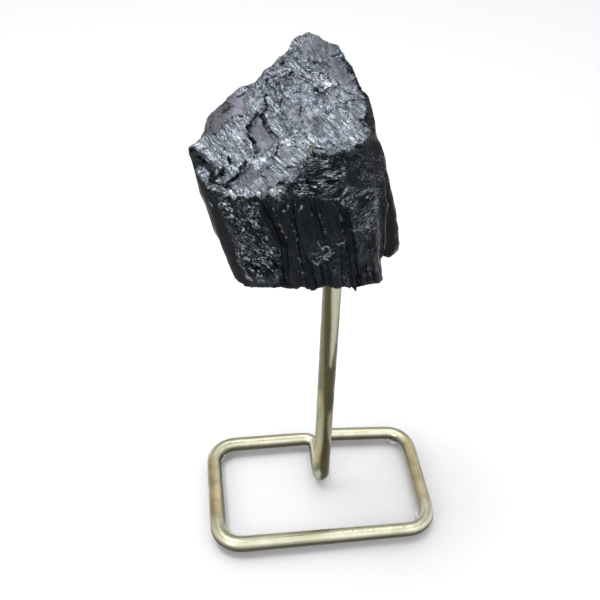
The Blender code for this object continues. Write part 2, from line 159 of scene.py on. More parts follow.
# ---------------------------------------------------------------- picture plane
def camera_axes():
    """Right, up and forward of the camera as unit rows."""
    forward = np.array([
        math.sin(CAMERA_YAW) * math.cos(CAMERA_PITCH),
        math.cos(CAMERA_YAW) * math.cos(CAMERA_PITCH),
        -math.sin(CAMERA_PITCH),
    ])
    level_right = np.array([math.cos(CAMERA_YAW), -math.sin(CAMERA_YAW), 0.0])
    level_up = np.cross(level_right, forward)
    right = math.cos(CAMERA_ROLL) * level_right + math.sin(CAMERA_ROLL) * level_up
    up = math.cos(CAMERA_ROLL) * level_up - math.sin(CAMERA_ROLL) * level_right
    return np.array([right, up, forward])


def in_picture(points):
    """Pixel column and row of an (n, 3) array of places in millimetres."""
    seen = (points - CAMERA_PLACE) @ camera_axes().T
    column = IMAGE_SIZE / 2 + CAMERA_FOCAL * seen[:, 0] / seen[:, 2]
    row = IMAGE_SIZE / 2 - CAMERA_FOCAL * seen[:, 1] / seen[:, 2]
    return column, row


def path_offset(u, v, path):
    """Distance to a drawn path, the side of it (+1 on the right as it is drawn), and how far
    along it, from 0 to 1."""
    away = np.full(len(u), 1e9)
    side = np.ones(len(u))
    along = np.zeros(len(u))
    lengths = [math.dist(a, b) for a, b in zip(path, path[1:])]
    done = 0.0
    for (x0, y0), (x1, y1), length in zip(path, path[1:], lengths):
        step_x = (x1 - x0) / length
        step_y = (y1 - y0) / length
        run = np.clip((u - x0) * step_x + (v - y0) * step_y, 0, length)
        gap_x = u - x0 - run * step_x
        gap_y = v - y0 - run * step_y
        gap = np.hypot(gap_x, gap_y)
        closer = gap < away
        away = np.where(closer, gap, away)
        side = np.where(closer, np.sign(step_x * gap_y - step_y * gap_x), side)
        along = np.where(closer, (done + run) / sum(lengths), along)
        done += length
    return away, side, along


def area_weight(u, v, outline, soft):
    """1 inside the outline, 0 outside, with a soft edge that many pixels wide."""
    inside = np.zeros(len(u), bool)
    closed = list(outline) + [outline[0]]
    for (x0, y0), (x1, y1) in zip(closed, closed[1:]):
        if y0 == y1:
            continue
        crosses = (y0 > v) != (y1 > v)
        at = x0 + (v - y0) / (y1 - y0) * (x1 - x0)
        inside ^= crosses & (u < at)
    away = path_offset(u, v, closed)[0]
    return rise(np.where(inside, away, -away), -soft / 2, soft / 2)


def several(u, v, outlines, soft):
    """How far inside any of the outlines."""
    weight = np.zeros(len(u))
    for outline in outlines:
        weight = np.maximum(weight, area_weight(u, v, outline, soft))
    return weight


def cut_along(u, v, path, start_width, end_width, core):
    """1 in the middle of a drawn cut, soft from that share of its half width, 0 beyond it."""
    away, _, share = path_offset(u, v, path)
    half = start_width + (end_width - start_width) * share
    return 1 - rise(away, half * core, half * (1 + core))


def from_post(places):
    """Distance from the post's axis, in plan."""
    return np.hypot(places[:, 0] - POST_PLACE[0], places[:, 1] - POST_PLACE[1])


# ---------------------------------------------------------------- drawn features, in pixels
# Crevices of the fracture: path, half width at start and end, depth in millimetres.
CREVICES = (
    (((265, 109), (261, 114), (255, 116), (252, 119)), 1.4, 1.6, 1.0),
    (((252, 119), (250, 125), (248, 131), (249, 137), (252, 141)), 1.6, 1.8, 1.4),
    (((252, 141), (251, 145), (254, 150), (257, 154)), 1.6, 0.9, 1.0),
    (((264, 112), (263, 117), (265, 122), (266, 128), (270, 133), (277, 137)), 1.5, 1.2, 0.9),
    (((268, 90), (264, 97), (266, 103), (265, 109)), 0.8, 1.4, 0.6),
    (((247, 161), (246, 165), (241, 168), (239, 174), (237, 178)), 1.1, 2.0, 1.4),
    (((237, 178), (232, 181), (228, 184), (231, 187)), 2.2, 1.6, 1.5),
    (((230, 160), (230, 165), (225, 168), (222, 172)), 1.2, 2.0, 1.0),
    (((222, 172), (217, 176), (213, 181)), 2.4, 2.6, 0.9),
    (((209, 165), (214, 172), (212, 181)), 2.8, 3.2, 1.2),
    (((216, 183), (222, 185), (227, 187)), 1.4, 1.2, 0.7),
    (((227, 147), (223, 152), (222, 157)), 0.6, 0.6, 0.4),
    (((223, 102), (228, 103)), 1.8, 1.4, 0.8),
    (((230, 105), (233, 106)), 1.2, 1.1, 0.6),
    (((221, 111), (228, 108), (233, 106)), 0.9, 0.8, 0.5),
    (((237, 97), (241, 95), (246, 92)), 0.8, 0.7, 0.5),
    (((279, 143), (277, 150), (275, 157)), 0.8, 0.8, 0.6),
    (((279, 145), (285, 143)), 0.7, 0.6, 0.4),
    (((276, 162), (270, 166), (265, 168)), 0.7, 0.6, 0.4),
    (((282, 100), (280, 104)), 1.0, 0.8, 0.6),
    (((280, 110), (282, 114), (288, 118)), 0.7, 0.7, 0.4),
    (((301, 108), (300, 117)), 1.0, 0.9, 0.6),
    (((286, 168), (294, 167), (302, 166)), 0.7, 0.6, 0.4),
    (((316, 88), (318, 91), (315, 93)), 1.4, 1.3, 0.9),
    (((316, 95), (317, 102)), 1.2, 1.0, 0.8),
    (((265, 80), (275, 78), (283, 77), (292, 74)), 0.9, 1.6, 0.9),
    (((280, 66), (283, 62)), 0.9, 0.9, 0.5),
    (((292, 52), (287, 55)), 0.6, 0.6, 0.4),
    (((336, 80), (342, 88), (350, 93), (360, 97)), 0.6, 0.6, 0.3),
    (((360, 119), (364, 125), (368, 128)), 0.9, 1.1, 0.6),
    (((218, 132), (224, 125), (230, 118), (237, 115), (247, 114)), 0.7, 0.5, 0.3),
    (((343, 104), (352, 100), (362, 100)), 0.6, 0.5, 0.3),
    (((316, 148), (324, 149)), 0.8, 0.6, 0.5),
    (((270, 188), (276, 184), (283, 183)), 1.4, 1.0, 0.7),
    (((313, 62), (317, 63)), 1.0, 0.8, 0.4),
    (((332, 56), (341, 55)), 0.6, 0.6, 0.3),
    (((244, 141), (248, 148), (247, 152)), 0.6, 0.6, 0.3),
    (((256, 172), (262, 176), (266, 178)), 0.7, 0.6, 0.4),
)

# Ledges of the fracture: path drawn with the higher side on its left, height in millimetres
# and how many pixels behind the edge it has sunk back.
LEDGES = (
    (((257, 154), (256, 150), (251, 145), (251, 137), (250, 128), (255, 118)), 0.7, 14),
    (((228, 186), (237, 180), (240, 172), (246, 167), (247, 161)), 0.8, 14),
    (((266, 109), (260, 107), (256, 106)), 0.5, 8),
    (((207, 119), (215, 133), (226, 122), (236, 116), (248, 114)), -0.4, 16),
    (((317, 103), (317, 96), (318, 91), (324, 92), (332, 90)), 0.5, 10),
    (((292, 75), (283, 78), (272, 80), (262, 82)), 0.6, 10),
    (((296, 60), (306, 72), (318, 75), (330, 74)), 0.3, 12),
)

# Smooth patches of the fracture, where the stone parted along a plane. The flat ones are levelled.
SMOOTH_PATCHES = (
    ((262, 117), (256, 121), (253, 127), (253, 135), (256, 142), (256, 149), (260, 153),
     (266, 151), (272, 145), (274, 139), (269, 133), (265, 126)),
    ((207, 117), (222, 103), (236, 94), (246, 95), (248, 103), (246, 113), (238, 116),
     (228, 117), (216, 131), (203, 138), (203, 128)),
)
# Quieter stretches, half as smooth.
SOFT_AREAS = (
    ((319, 92), (331, 93), (334, 100), (326, 105), (318, 102)),
    ((244, 169), (250, 167), (256, 172), (257, 180), (249, 187), (240, 186), (239, 180)),
    ((322, 62), (340, 62), (352, 74), (357, 86), (346, 84), (335, 77), (325, 74)),
    ((285, 101), (297, 103), (299, 109), (298, 118), (290, 119), (286, 111)),
    ((281, 146), (290, 145), (296, 152), (292, 160), (282, 162), (277, 156)),
    ((312, 108), (322, 110), (322, 122), (308, 122), (304, 114)),
    ((298, 38), (318, 36), (334, 52), (350, 74), (340, 66), (322, 60), (302, 56)),
    ((228, 97), (240, 92), (250, 92), (250, 104), (236, 104)),
    ((236, 186), (262, 176), (280, 172), (276, 184), (256, 190), (240, 192)),
)
BROWN_PATCH = ((203, 138), (204, 122), (212, 111), (224, 102), (232, 103), (226, 118), (214, 132))
FLAT_PATCHES = (SMOOTH_PATCHES[0], SOFT_AREAS[1])
GREENISH_SPOT = ((308, 146), (313, 144), (316, 148), (314, 154), (309, 154), (306, 151))

# Where the stone's outline is drawn out or in to the picture's: place, reach and push in pixels.
NUDGES = (
    (218, 111, 13, -2.5, -3.0),
    (240, 91, 13, -1.5, -3.0),
    (262, 77, 13, -1.0, -3.0),
    (284, 59, 11, -3.5, -3.0),
    (307, 34, 7, 0.0, -2.5),
    (299, 35, 6, 3.0, 0.0),
    (326, 38, 5, -2.5, 1.0),
    (339, 46, 9, 1.5, -4.5),
    (351, 71, 9, 4.5, -5.0),
    (369, 106, 9, 2.5, -3.5),
    (380, 132, 12, -3.0, 2.0),
    (191, 155, 8, -2.5, 0.0),
    (364, 97, 7, 2.5, -2.0),
    (252, 81, 7, 2.5, 2.0),
    (390, 168, 12, -2.0, 0.0),
    (396, 212, 14, 1.5, 0.0),
    (386, 264, 8, -4.0, -3.0),
    (378, 279, 9, 3.5, 3.5),
    (358, 283, 12, 0.0, 4.5),
)
# Darker and paler stretches of the fracture, the darker ones along the top rim painted shade, and
# its weathered back edge.
DARK_AREAS = (
    ((284, 104), (302, 104), (304, 132), (284, 134)),
    ((280, 78), (288, 78), (290, 97), (282, 98)),
    ((246, 86), (264, 80), (266, 100), (250, 106)),
    ((325, 62), (341, 62), (342, 80), (328, 80)),
    ((206, 120), (222, 110), (228, 116), (228, 134), (212, 138)),
    ((230, 94), (247, 93), (248, 112), (236, 116)),
    ((307, 42), (314, 42), (322, 55), (312, 55)),
    ((334, 118), (344, 118), (344, 128), (334, 128)),
    ((320, 150), (332, 150), (332, 158), (320, 158)),
    ((294, 34), (312, 27), (338, 41), (343, 56), (326, 48), (300, 43)),
    ((258, 66), (282, 56), (284, 72), (262, 76)),
    ((272, 178), (290, 174), (292, 186), (274, 190)),
    ((320, 166), (342, 168), (340, 176), (322, 174)),
)
PALE_AREAS = (
    ((340, 82), (360, 86), (366, 100), (342, 100)),
    ((201, 150), (210, 152), (211, 168), (201, 164)),
    ((214, 141), (232, 141), (232, 149), (214, 149)),
    ((304, 170), (315, 170), (317, 184), (305, 186)),
    ((298, 139), (326, 140), (326, 150), (298, 150)),
    ((254, 108), (270, 112), (285, 136), (274, 142)),
    ((326, 120), (345, 138), (338, 142), (324, 128)),
    ((244, 108), (262, 110), (262, 117), (246, 119)),
    ((300, 66), (309, 66), (309, 74), (300, 74)),
)
WORN_EDGE = ((212, 114), (226, 99), (240, 88), (256, 79), (270, 68), (284, 58))

# Blocky rubble instead of fibres.
RUBBLE_AREAS = (
    ((192, 147), (202, 142), (222, 158), (232, 162), (228, 186), (212, 184), (202, 172)),
    ((262, 66), (280, 58), (296, 60), (296, 82), (268, 84)),
    ((296, 40), (312, 34), (318, 60), (300, 68), (288, 58)),
    ((276, 92), (300, 92), (302, 134), (278, 134)),
    ((300, 70), (336, 74), (338, 92), (318, 92), (300, 84)),
)
# Bright clumps: painted glints, each also raised a little.
GLINT_CLUMPS = (
    ((322, 82), (327, 80), (332, 90), (326, 92)),
    ((332, 84), (338, 83), (336, 88), (332, 88)),
    ((306, 74), (313, 78), (311, 81), (305, 78)),
    ((280, 140), (290, 139), (292, 146), (282, 146)),
    ((190, 147), (200, 142), (204, 147), (196, 150)),
    ((223, 191), (232, 191), (234, 197), (226, 197)),
    ((270, 190), (283, 188), (283, 193), (271, 194)),
    ((246, 194), (262, 193), (262, 197), (247, 199)),
    ((361, 113), (366, 114), (364, 119), (361, 117)),
    ((250, 143), (258, 155), (254, 158), (246, 145)),
    ((206, 186), (214, 186), (216, 190), (208, 190)),
)

# Long edges of the columns on the front, from left to right: the column of pixels they cross at
# each row of LANE_ROWS, and the relief in millimetres just left and just right of them.
LANE_ROWS = (192, 205, 225, 245, 265, 288)
LANES = (
    ((208, 217, 228, 235, 241, 254), 0.0, 0.12),
    ((211, 220, 231, 239, 246, 259), 0.30, 0.12),
    ((246, 253, 262, 272, 277, 280), 0.10, -0.10),
    ((256, 262, 272, 281, 281, 283), -0.45, -0.75),
    ((266, 271, 279, 287, 289, 289), -0.60, 0.10),
    ((283, 286, 291, 295, 298, 301), 0.20, 0.22),
    ((289, 292, 296, 298, 302, 308), 0.25, -0.18),
    ((290, 293, 297, 303, 311, 318), -0.40, 0.10),
    ((306, 309, 314, 318, 320, 323), 0.22, 0.10),
    ((311, 315, 321, 326, 328, 330), -0.25, 0.22),
    ((330, 333, 337, 341, 343, 344), 0.05, -0.05),
    ((334, 337, 342, 346, 348, 350), 0.32, -0.40),
    ((344, 347, 352, 356, 358, 360), -0.55, 0.05),
    ((352, 354, 359, 363, 365, 367), 0.10, -0.08),
    ((362, 364, 368, 371, 373, 374), 0.12, -0.10),
    ((377, 378, 381, 381, 379, 379), 0.04, 0.0),
    ((396, 398, 401, 402, 402, 402), 0.0, 0.0),
)
# Short narrow columns below the crack: path, half width at start and end, depth.
GROOVES = (
    (((319, 262), (322, 272), (325, 288)), 1.0, 1.3, 0.40),
    (((328, 262), (331, 275), (333, 288)), 0.8, 0.8, 0.22),
    (((340, 262), (342, 275), (343, 288)), 1.1, 1.3, 0.40),
    (((349, 258), (352, 274), (353, 288)), 0.9, 0.9, 0.22),
    (((358, 264), (361, 276), (362, 287)), 0.9, 0.9, 0.30),
    (((366, 266), (368, 283)), 1.0, 1.0, 0.35),
    (((373, 262), (375, 281)), 0.9, 0.9, 0.30),
    (((383, 235), (384, 258)), 0.8, 0.8, 0.20),
)

# Flaky areas of the front: outline, the way the flakes lie in degrees down from the picture's
# right, and how marked they are.
FLAKE_ZONES = (
    (((213, 196), (232, 196), (248, 201), (258, 206), (262, 224), (270, 240), (279, 250),
      (279, 280), (250, 280), (243, 268), (236, 246), (228, 222)), 36, 1.0),
    (((306, 160), (322, 155), (346, 157), (346, 170), (340, 184), (334, 192), (318, 197),
      (298, 195), (290, 186), (300, 172)), -14, 1.2),
    (((322, 196), (346, 184), (358, 190), (366, 186), (380, 190), (381, 212), (378, 232),
      (356, 233), (350, 214), (340, 205)), -42, 0.5),
    (((351, 236), (379, 232), (379, 262), (353, 262)), -60, 0.18),
    (((352, 150), (384, 152), (388, 180), (366, 184), (350, 172)), 38, 0.3),
    (((205, 166), (214, 170), (226, 186), (222, 194), (210, 190), (203, 178)), 30, 0.8),
    (((300, 240), (346, 238), (346, 262), (312, 264)), -24, 0.15),
    (((202, 180), (214, 188), (226, 196), (246, 199), (263, 196), (284, 186), (296, 178),
      (302, 168), (308, 172), (300, 190), (286, 200), (268, 206), (240, 208), (214, 200)),
     18, 0.5),
    (((324, 264), (350, 262), (379, 264), (380, 279), (344, 284)), 74, 0.22),
)
CALM_AREAS = (
    ((187, 146), (196, 152), (203, 176), (213, 196), (226, 221), (234, 245), (240, 266),
     (250, 284), (232, 286), (222, 256), (206, 214), (194, 178)),
    ((368, 142), (382, 142), (392, 190), (397, 222), (399, 248), (386, 262), (379, 262),
     (380, 226), (377, 192), (370, 172)),
    ((344, 156), (352, 156), (352, 186), (344, 184)),
)
# Pale chips along edges and cracks: path and half width.
CHIP_PATHS = (
    (((313, 261), (316, 264), (319, 263)), 1.3),
    (((316, 258), (320, 257), (325, 256), (329, 253), (332, 252)), 0.6),
    (((318, 261), (323, 258), (330, 255), (334, 252)), 0.5),
    (((324, 259), (327, 259)), 1.2),
    (((322, 250), (324, 247), (328, 246), (330, 249), (331, 253)), 0.6),
    (((317, 241), (319, 244), (322, 248)), 0.8),
    (((332, 244), (336, 243), (340, 244), (345, 241)), 0.8),
    (((298, 213), (301, 209), (302, 206), (305, 208)), 0.6),
    (((311, 214), (312, 215)), 0.9),
    (((283, 211), (287, 209), (288, 205)), 0.7),
    (((325, 199), (331, 200), (337, 199), (341, 196)), 0.6),
    (((341, 196), (344, 192), (347, 187)), 0.7),
    (((341, 204), (347, 203), (353, 199)), 0.6),
    (((341, 204), (347, 206), (352, 208)), 0.5),
    (((350, 198), (353, 195), (356, 192)), 0.8),
    (((357, 196), (360, 193), (363, 195)), 0.6),
    (((353, 230), (360, 229), (366, 227), (372, 229)), 0.5),
    (((209, 202), (212, 206)), 0.8),
    (((222, 214), (224, 216)), 0.7),
    (((230, 208), (233, 210)), 0.8),
    (((311, 192), (314, 193)), 1.1),
    (((245, 274), (249, 277), (252, 280)), 1.0),
    (((236, 253), (240, 256)), 1.2),
    (((236, 236), (241, 244), (245, 248)), 0.5),
    (((240, 265), (244, 268), (245, 271)), 0.7),
    (((371, 202), (379, 203)), 0.5),
)
# Dotted bright edges: painted glints along ridges.
GLINT_DOTTED_EDGES = (
    ((270, 203), (275, 213), (280, 225), (285, 236)),
    ((292, 224), (295, 231), (297, 238), (299, 246)),
    ((319, 213), (322, 221), (325, 228), (326, 236)),
    ((337, 208), (340, 217), (343, 228), (345, 240)),
    ((297, 248), (300, 262), (304, 275)),
)

# Bundles of straight fibres on the fracture: outline, the way they run in degrees down from
# the picture's right, and how marked they are. The last two of these hold elsewhere.
FIBRE_PATCHES = (
    (((221, 124), (228, 118), (242, 115), (251, 119), (249, 138), (256, 153), (252, 159),
      (240, 152), (228, 138)), 51, 1.0),
    (((194, 147), (204, 140), (222, 140), (238, 152), (247, 160), (232, 163), (220, 168),
      (206, 160)), 45, 1.0),
    (((305, 104), (326, 111), (345, 114), (361, 126), (364, 138), (352, 146), (336, 140),
      (320, 132), (309, 120)), 42, 0.9),
    (((280, 146), (300, 136), (312, 142), (306, 160), (290, 178), (268, 190), (260, 170),
      (274, 158)), 40, 0.7),
    (((262, 84), (274, 84), (286, 100), (284, 120), (272, 120), (264, 104)), 58, 0.5),
    (((298, 36), (314, 38), (330, 60), (316, 66), (300, 52)), 62, 0.6),
    (((334, 84), (360, 96), (368, 116), (352, 112), (336, 100)), 36, 0.6),
)
FIBRE_ELSEWHERE = (47, 0.2)
FIBRE_LENGTHENING = 1.6                 # how much longer fibres are where they are most marked

# Outline of the fracture in the picture. Its front edge is where the colour changes, and the
# rest is drawn outside the stone, where the slope of its surface decides.
FRACTURE_RIM = (
    (190, 149), (196, 150), (201, 154), (206, 160), (208, 164), (203, 166), (198, 165),
    (196, 171), (201, 180), (207, 187), (216, 191), (224, 196), (246, 198), (263, 196),
    (272, 194), (283, 190), (294, 180), (304, 167), (307, 160), (312, 153), (325, 154),
    (333, 154), (342, 152), (351, 153), (353, 145), (360, 144), (364, 140), (367, 134),
    (370, 131), (365, 122), (366, 112), (366, 105), (364, 98), (361, 92), (357, 86),
    (354, 79), (349, 72), (345, 65), (343, 57), (341, 50),
)
FRACTURE_OUTLINE = FRACTURE_RIM + (
    (352, 40), (320, 20), (296, 20), (276, 46), (250, 66), (220, 86),
    (200, 108), (194, 134), (184, 140), (184, 146),
)
FRACTURE_SLOPE = (0.139, 0.408, 125.26)     # height = a x + b y + c, millimetres

# What the fracture's drawn zones are made of: outlines, how softly they end in pixels, and how
# strong they are.
DRAWN_ZONES = {
    "smooth": ((SMOOTH_PATCHES, 1.5, 1.0), (SOFT_AREAS, 5, 0.5)),
    "violet": ((SMOOTH_PATCHES, 2.5, 1.0), (SOFT_AREAS[:2], 3.5, 0.6)),
    "brown": (((BROWN_PATCH,), 5, 1.0),),
    "dark": ((DARK_AREAS, 9, 1.0),),
    "pale": ((PALE_AREAS, 6, 1.0),),
    "spot": (((GREENISH_SPOT,), 3, 1.0),),
    "rubble": ((RUBBLE_AREAS, 8, 1.0),),
}

# Where each part of the stone's surface starts and where it is full: by how far the surface
# faces the camera or a side, by height above the slope, and by place in millimetres.
FADES = {
    "seen": (0.02, 0.2),
    "in view": (-0.06, 0.02),
    "behind": (-0.4, -0.1),
    "turning away": (0.13, 0.29),
    "turned away": (-0.7, -0.3),
    "front": (-0.2, 0.1),
    "upward": (0.31, 0.35),
    "downward": (0.45, 0.7),
    "open top": (0.18, 0.42),
    "above": (-9, -6),
    "ragged above": (-7.9, -7.3),
    "hole": (3.0, 5.0),
    "hole's top": (98, 101),
}
RIM_WIDTH = (1.0, 7.0)                  # pixels
WORN_WIDTH = (2, 7)
WORN_STRENGTH = 0.55
BACK_RIM_STRENGTH = 0.6
GRAZING = 0.11                          # how far the surface faces the camera at the outline
CREVICE_CORE, GROOVE_CORE = 0.35, 0.4   # the deep middle of a cut, as a share of its half width
LEDGE_TAPER = 0.08                      # the share of a ledge over which each end dies out
OUTLINE_CALM = 0.65                     # how much relief goes along the outline

# Flat tilted chips: width in pixels, stretch along the grain, tilt, step in millimetres and seed.
CHIPS = {
    "rubble": ((7.0, 1.3, 0.30, 0.30, 71), (3.4, 1.5, 0.42, 0.14, 81)),
    "smooth": ((3.0, 1.4, 0.30, 0.06, 89),),
    "rim": ((5.5, 1.6, 0.4, 0.8, 85),),
    "far slope": ((10, 1.5, 0.32, 0.5, 87), (4, 1.8, 0.45, 0.25, 93)),
    "snapped columns": ((11, 1.6, 0.25, 0.3, 141),),
    "flakes": ((6.0, 1.7, 0.45, 0.32, 161), (3.0, 2.0, 0.55, 0.18, 171)),
    "rim of the flank": ((5.0, 1.5, 0.45, 0.9, 181),),
    "underside": ((14, 1.3, 0.3, 0.5, 241), (5, 1.2, 0.4, 0.2, 251)),
}
# The same for the splinters, after how strong they are and what marked fibres add to that.
SPLINTERS = (
    (1.0, -0.5, 13, 2.0, 0.14, 0.18, 41),
    (0.7, 0.1, 5.0, 3.2, 0.26, 0.12, 51),
    (0.3, 0.7, 2.6, 4.5, 0.42, 0.07, 61),
)
# Columns right round the crystal: width in millimetres, tilt, step and seed.
COLUMNS = ((2.4, 0.9, 0.5, 121), (0.9, 0.28, 0.12, 131))
# Blocks that turn drawn edges jagged: width in pixels, stretch, pull to their middle and seed.
BLOCKS = ((5.0, 1.8, 0.5, 221), (2.2, 1.6, 0.6, 231))


# ---------------------------------------------------------------- meshes as arrays
def rows_of(items, name, width, kind):
    flat = np.empty(len(items) * width, kind)
    items.foreach_get(name, flat)
    return flat.reshape(-1, width)


def mesh_places(mesh):
    return rows_of(mesh.vertices, "co", 3, np.float32).astype(np.float64) / MM


def mesh_normals(mesh):
    return rows_of(mesh.vertex_normals, "vector", 3, np.float32).astype(np.float64)


def set_places(mesh, places):
    mesh.vertices.foreach_set("co", (places * MM).astype(np.float32).ravel())
    mesh.update()


def kept_inside(places, box, margin=0.0):
    low, high = (np.array(corner) / MM for corner in box)
    return np.clip(places, low + margin, high - margin)


def finished(shape, name):
    """The bmesh as a mesh, with its faces turned outward."""
    bmesh.ops.recalc_face_normals(shape, faces=shape.faces)
    mesh = bpy.data.meshes.new(name)
    shape.to_mesh(mesh)
    shape.free()
    return mesh


def shade_smooth(mesh, sharp_from):
    """Smooth shading, with edges kept sharp from that many degrees."""
    mesh.polygons.foreach_set("use_smooth", [True] * len(mesh.polygons))
    mesh.set_sharp_from_angle(angle=math.radians(sharp_from))


def relaxed(values, edges, times, share=0.5):
    """Values at the vertices, each drawn towards the mean of its neighbours."""
    first, second = edges[:, 0], edges[:, 1]
    size = len(values)
    links = np.bincount(first, minlength=size) + np.bincount(second, minlength=size)
    values = values.reshape(size, -1).copy()
    for _ in range(times):
        for axis in range(values.shape[1]):
            column = values[:, axis]
            total = np.bincount(first, column[second], size)
            total += np.bincount(second, column[first], size)
            values[:, axis] = column + (total / links - column) * share
    return values


def evaluated(obj):
    """The object's mesh with its modifiers applied."""
    graph = bpy.context.evaluated_depsgraph_get()
    return bpy.data.meshes.new_from_object(obj.evaluated_get(graph))


def link_piece(name, data):
    piece = bpy.data.objects.new(name, data)
    bpy.context.scene.collection.objects.link(piece)
    return piece


def set_vectors(mesh, name, first, second, third):
    attribute = mesh.attributes.new(name, "FLOAT_VECTOR", "POINT")
    packed = np.stack([first, second, third], 1).astype(np.float32)
    attribute.data.foreach_set("vector", packed.ravel())


# ---------------------------------------------------------------- stone, shape
def stone_start():
    """The CAD stone as one even mesh of small quads."""
    source = bpy.data.objects["tourmaline"]
    mesh = source.data.copy()
    shape = bmesh.new()
    shape.from_mesh(mesh)
    bmesh.ops.remove_doubles(shape, verts=shape.verts, dist=MERGE_WITHIN * MM)
    shape.to_mesh(mesh)
    shape.free()
    piece = link_piece("stone", mesh)
    rounded = piece.modifiers.new("rounded", "SUBSURF")
    rounded.levels = 1
    rounded.render_levels = 1
    even = piece.modifiers.new("even", "REMESH")
    even.mode = "VOXEL"
    even.voxel_size = FINE_VOXEL * MM
    fine = evaluated(piece)
    piece.modifiers.clear()
    piece.data = fine
    return piece


def fade(value, name):
    return rise(value, *FADES[name])


def stone_zones(places, normals):
    """How much each vertex belongs to each part of the stone's surface, from 0 to 1."""
    plain = in_picture(places)
    to_camera = CAMERA_PLACE - places
    to_camera /= np.linalg.norm(to_camera, axis=1)[:, None]
    facing = np.sum(normals * to_camera, 1)
    seen = fade(facing, "seen")
    back = 1 - fade(facing, "behind")
    ragged = blocky(*plain)
    zones = {"plain": plain, "ragged": ragged, "seen": seen, "back": back}
    slope_x, slope_y, level = FRACTURE_SLOPE
    above = places[:, 2] - (slope_x * places[:, 0] + slope_y * places[:, 1] + level)
    front = 1 - fade(normals[:, 1], "front")
    lift = normals[:, 2] + 0.12 * layered_noise(places / 1.4, 271, 3)
    ragged_above = above + 1.6 * layered_noise(places / 2.0, 273, 2)
    high_up = np.where(seen > 0.5, fade(above, "above"), fade(ragged_above, "ragged above"))
    upward = np.maximum(fade(lift, "upward"), front * seen) * high_up
    fracture = upward * area_weight(*ragged, FRACTURE_OUTLINE, 1.5)
    zones["fracture"] = fracture
    zones["underside"] = fade(-normals[:, 2], "downward")
    flank = (1 - fracture) * (1 - zones["underside"])
    zones["flank"] = flank
    # what is drawn in the picture stays off the slopes behind its outline
    zones["in_view"] = fade(facing, "in view")
    for name, layers in DRAWN_ZONES.items():
        weights = [several(*ragged, outlines, soft) * share for outlines, soft, share in layers]
        zones[name] = np.max(weights, axis=0) * fracture * zones["in_view"]
    edge = path_offset(*ragged, WORN_EDGE)[0]
    weathered = WORN_STRENGTH - WORN_STRENGTH * rise(edge, *WORN_WIDTH)
    zones["brown"] = np.maximum(zones["brown"], weathered * fracture * zones["in_view"])
    # painted glints
    zones["clump"] = several(*ragged, GLINT_CLUMPS, 2) * seen
    flaky = np.zeros(len(seen))
    for outline, _, strength in FLAKE_ZONES:
        flaky = np.maximum(flaky, strength * area_weight(*ragged, outline, 9))
    patches = 0.45 + 0.55 * rise(layered_noise(places / 2.4, 261, 2), -0.6, 0.5)
    worn = rise(layered_noise(places / (5.0, 5.0, 9.0), 281, 2), 0.0, 0.7)
    zones["flaky"] = np.maximum(flaky * flank * seen * patches, 0.6 * worn * back * flank)
    rim = 1 - rise(path_offset(*ragged, FRACTURE_RIM)[0], *RIM_WIDTH)
    back_rim = (1 - rise(np.abs(lift - 0.33), 0.04, 0.20)) * fade(above, "above") * back
    zones["rim"] = np.maximum(rim * seen, BACK_RIM_STRENGTH * back_rim)
    zones["calm"] = several(*ragged, CALM_AREAS, 5) * flank * seen
    beside, over = fade(from_post(places), "hole"), fade(places[:, 2], "hole's top")
    zones["drilled"] = (1 - beside) * (1 - over)
    # along the outline, and on the fracture where it turns away
    turning = fade(facing, "turned away") * (1 - fade(facing, "turning away"))
    grazing = 1 - rise(np.abs(facing - GRAZING), 0.02, 0.18)
    zones["outline"] = np.maximum(grazing, turning * fracture)
    return zones


def nudged(places):
    """The places, pushed across the picture so that the stone's outline meets the drawn one."""
    right, up, _ = camera_axes()
    level = np.array([math.sin(CAMERA_YAW), math.cos(CAMERA_YAW), 0.0]) / math.sin(CAMERA_PITCH)
    u, v = in_picture(places)
    for column, row, reach, push_u, push_v in NUDGES:
        weight = np.exp(-((u - column) ** 2 + (v - row) ** 2) / reach ** 2)
        push = push_u * right - push_v * (level if row < 150 else up)
        places = places + weight[:, None] * PIXEL * push
    return places


def flattened(places, normals):
    """The places, with the stone's flat parting planes levelled out."""
    u, v = in_picture(places)
    open_top = fade(normals[:, 2], "open top")
    for outline in FLAT_PATCHES:
        weight = area_weight(u, v, outline, 3) * open_top
        inside = weight > 0.5
        known = np.column_stack([places[inside, :2], np.ones(inside.sum())])
        plane = np.linalg.lstsq(known, places[inside, 2], rcond=None)[0]
        level = places[:, 0] * plane[0] + places[:, 1] * plane[1] + plane[2]
        places[:, 2] += (level - places[:, 2]) * weight * 0.9
    return places


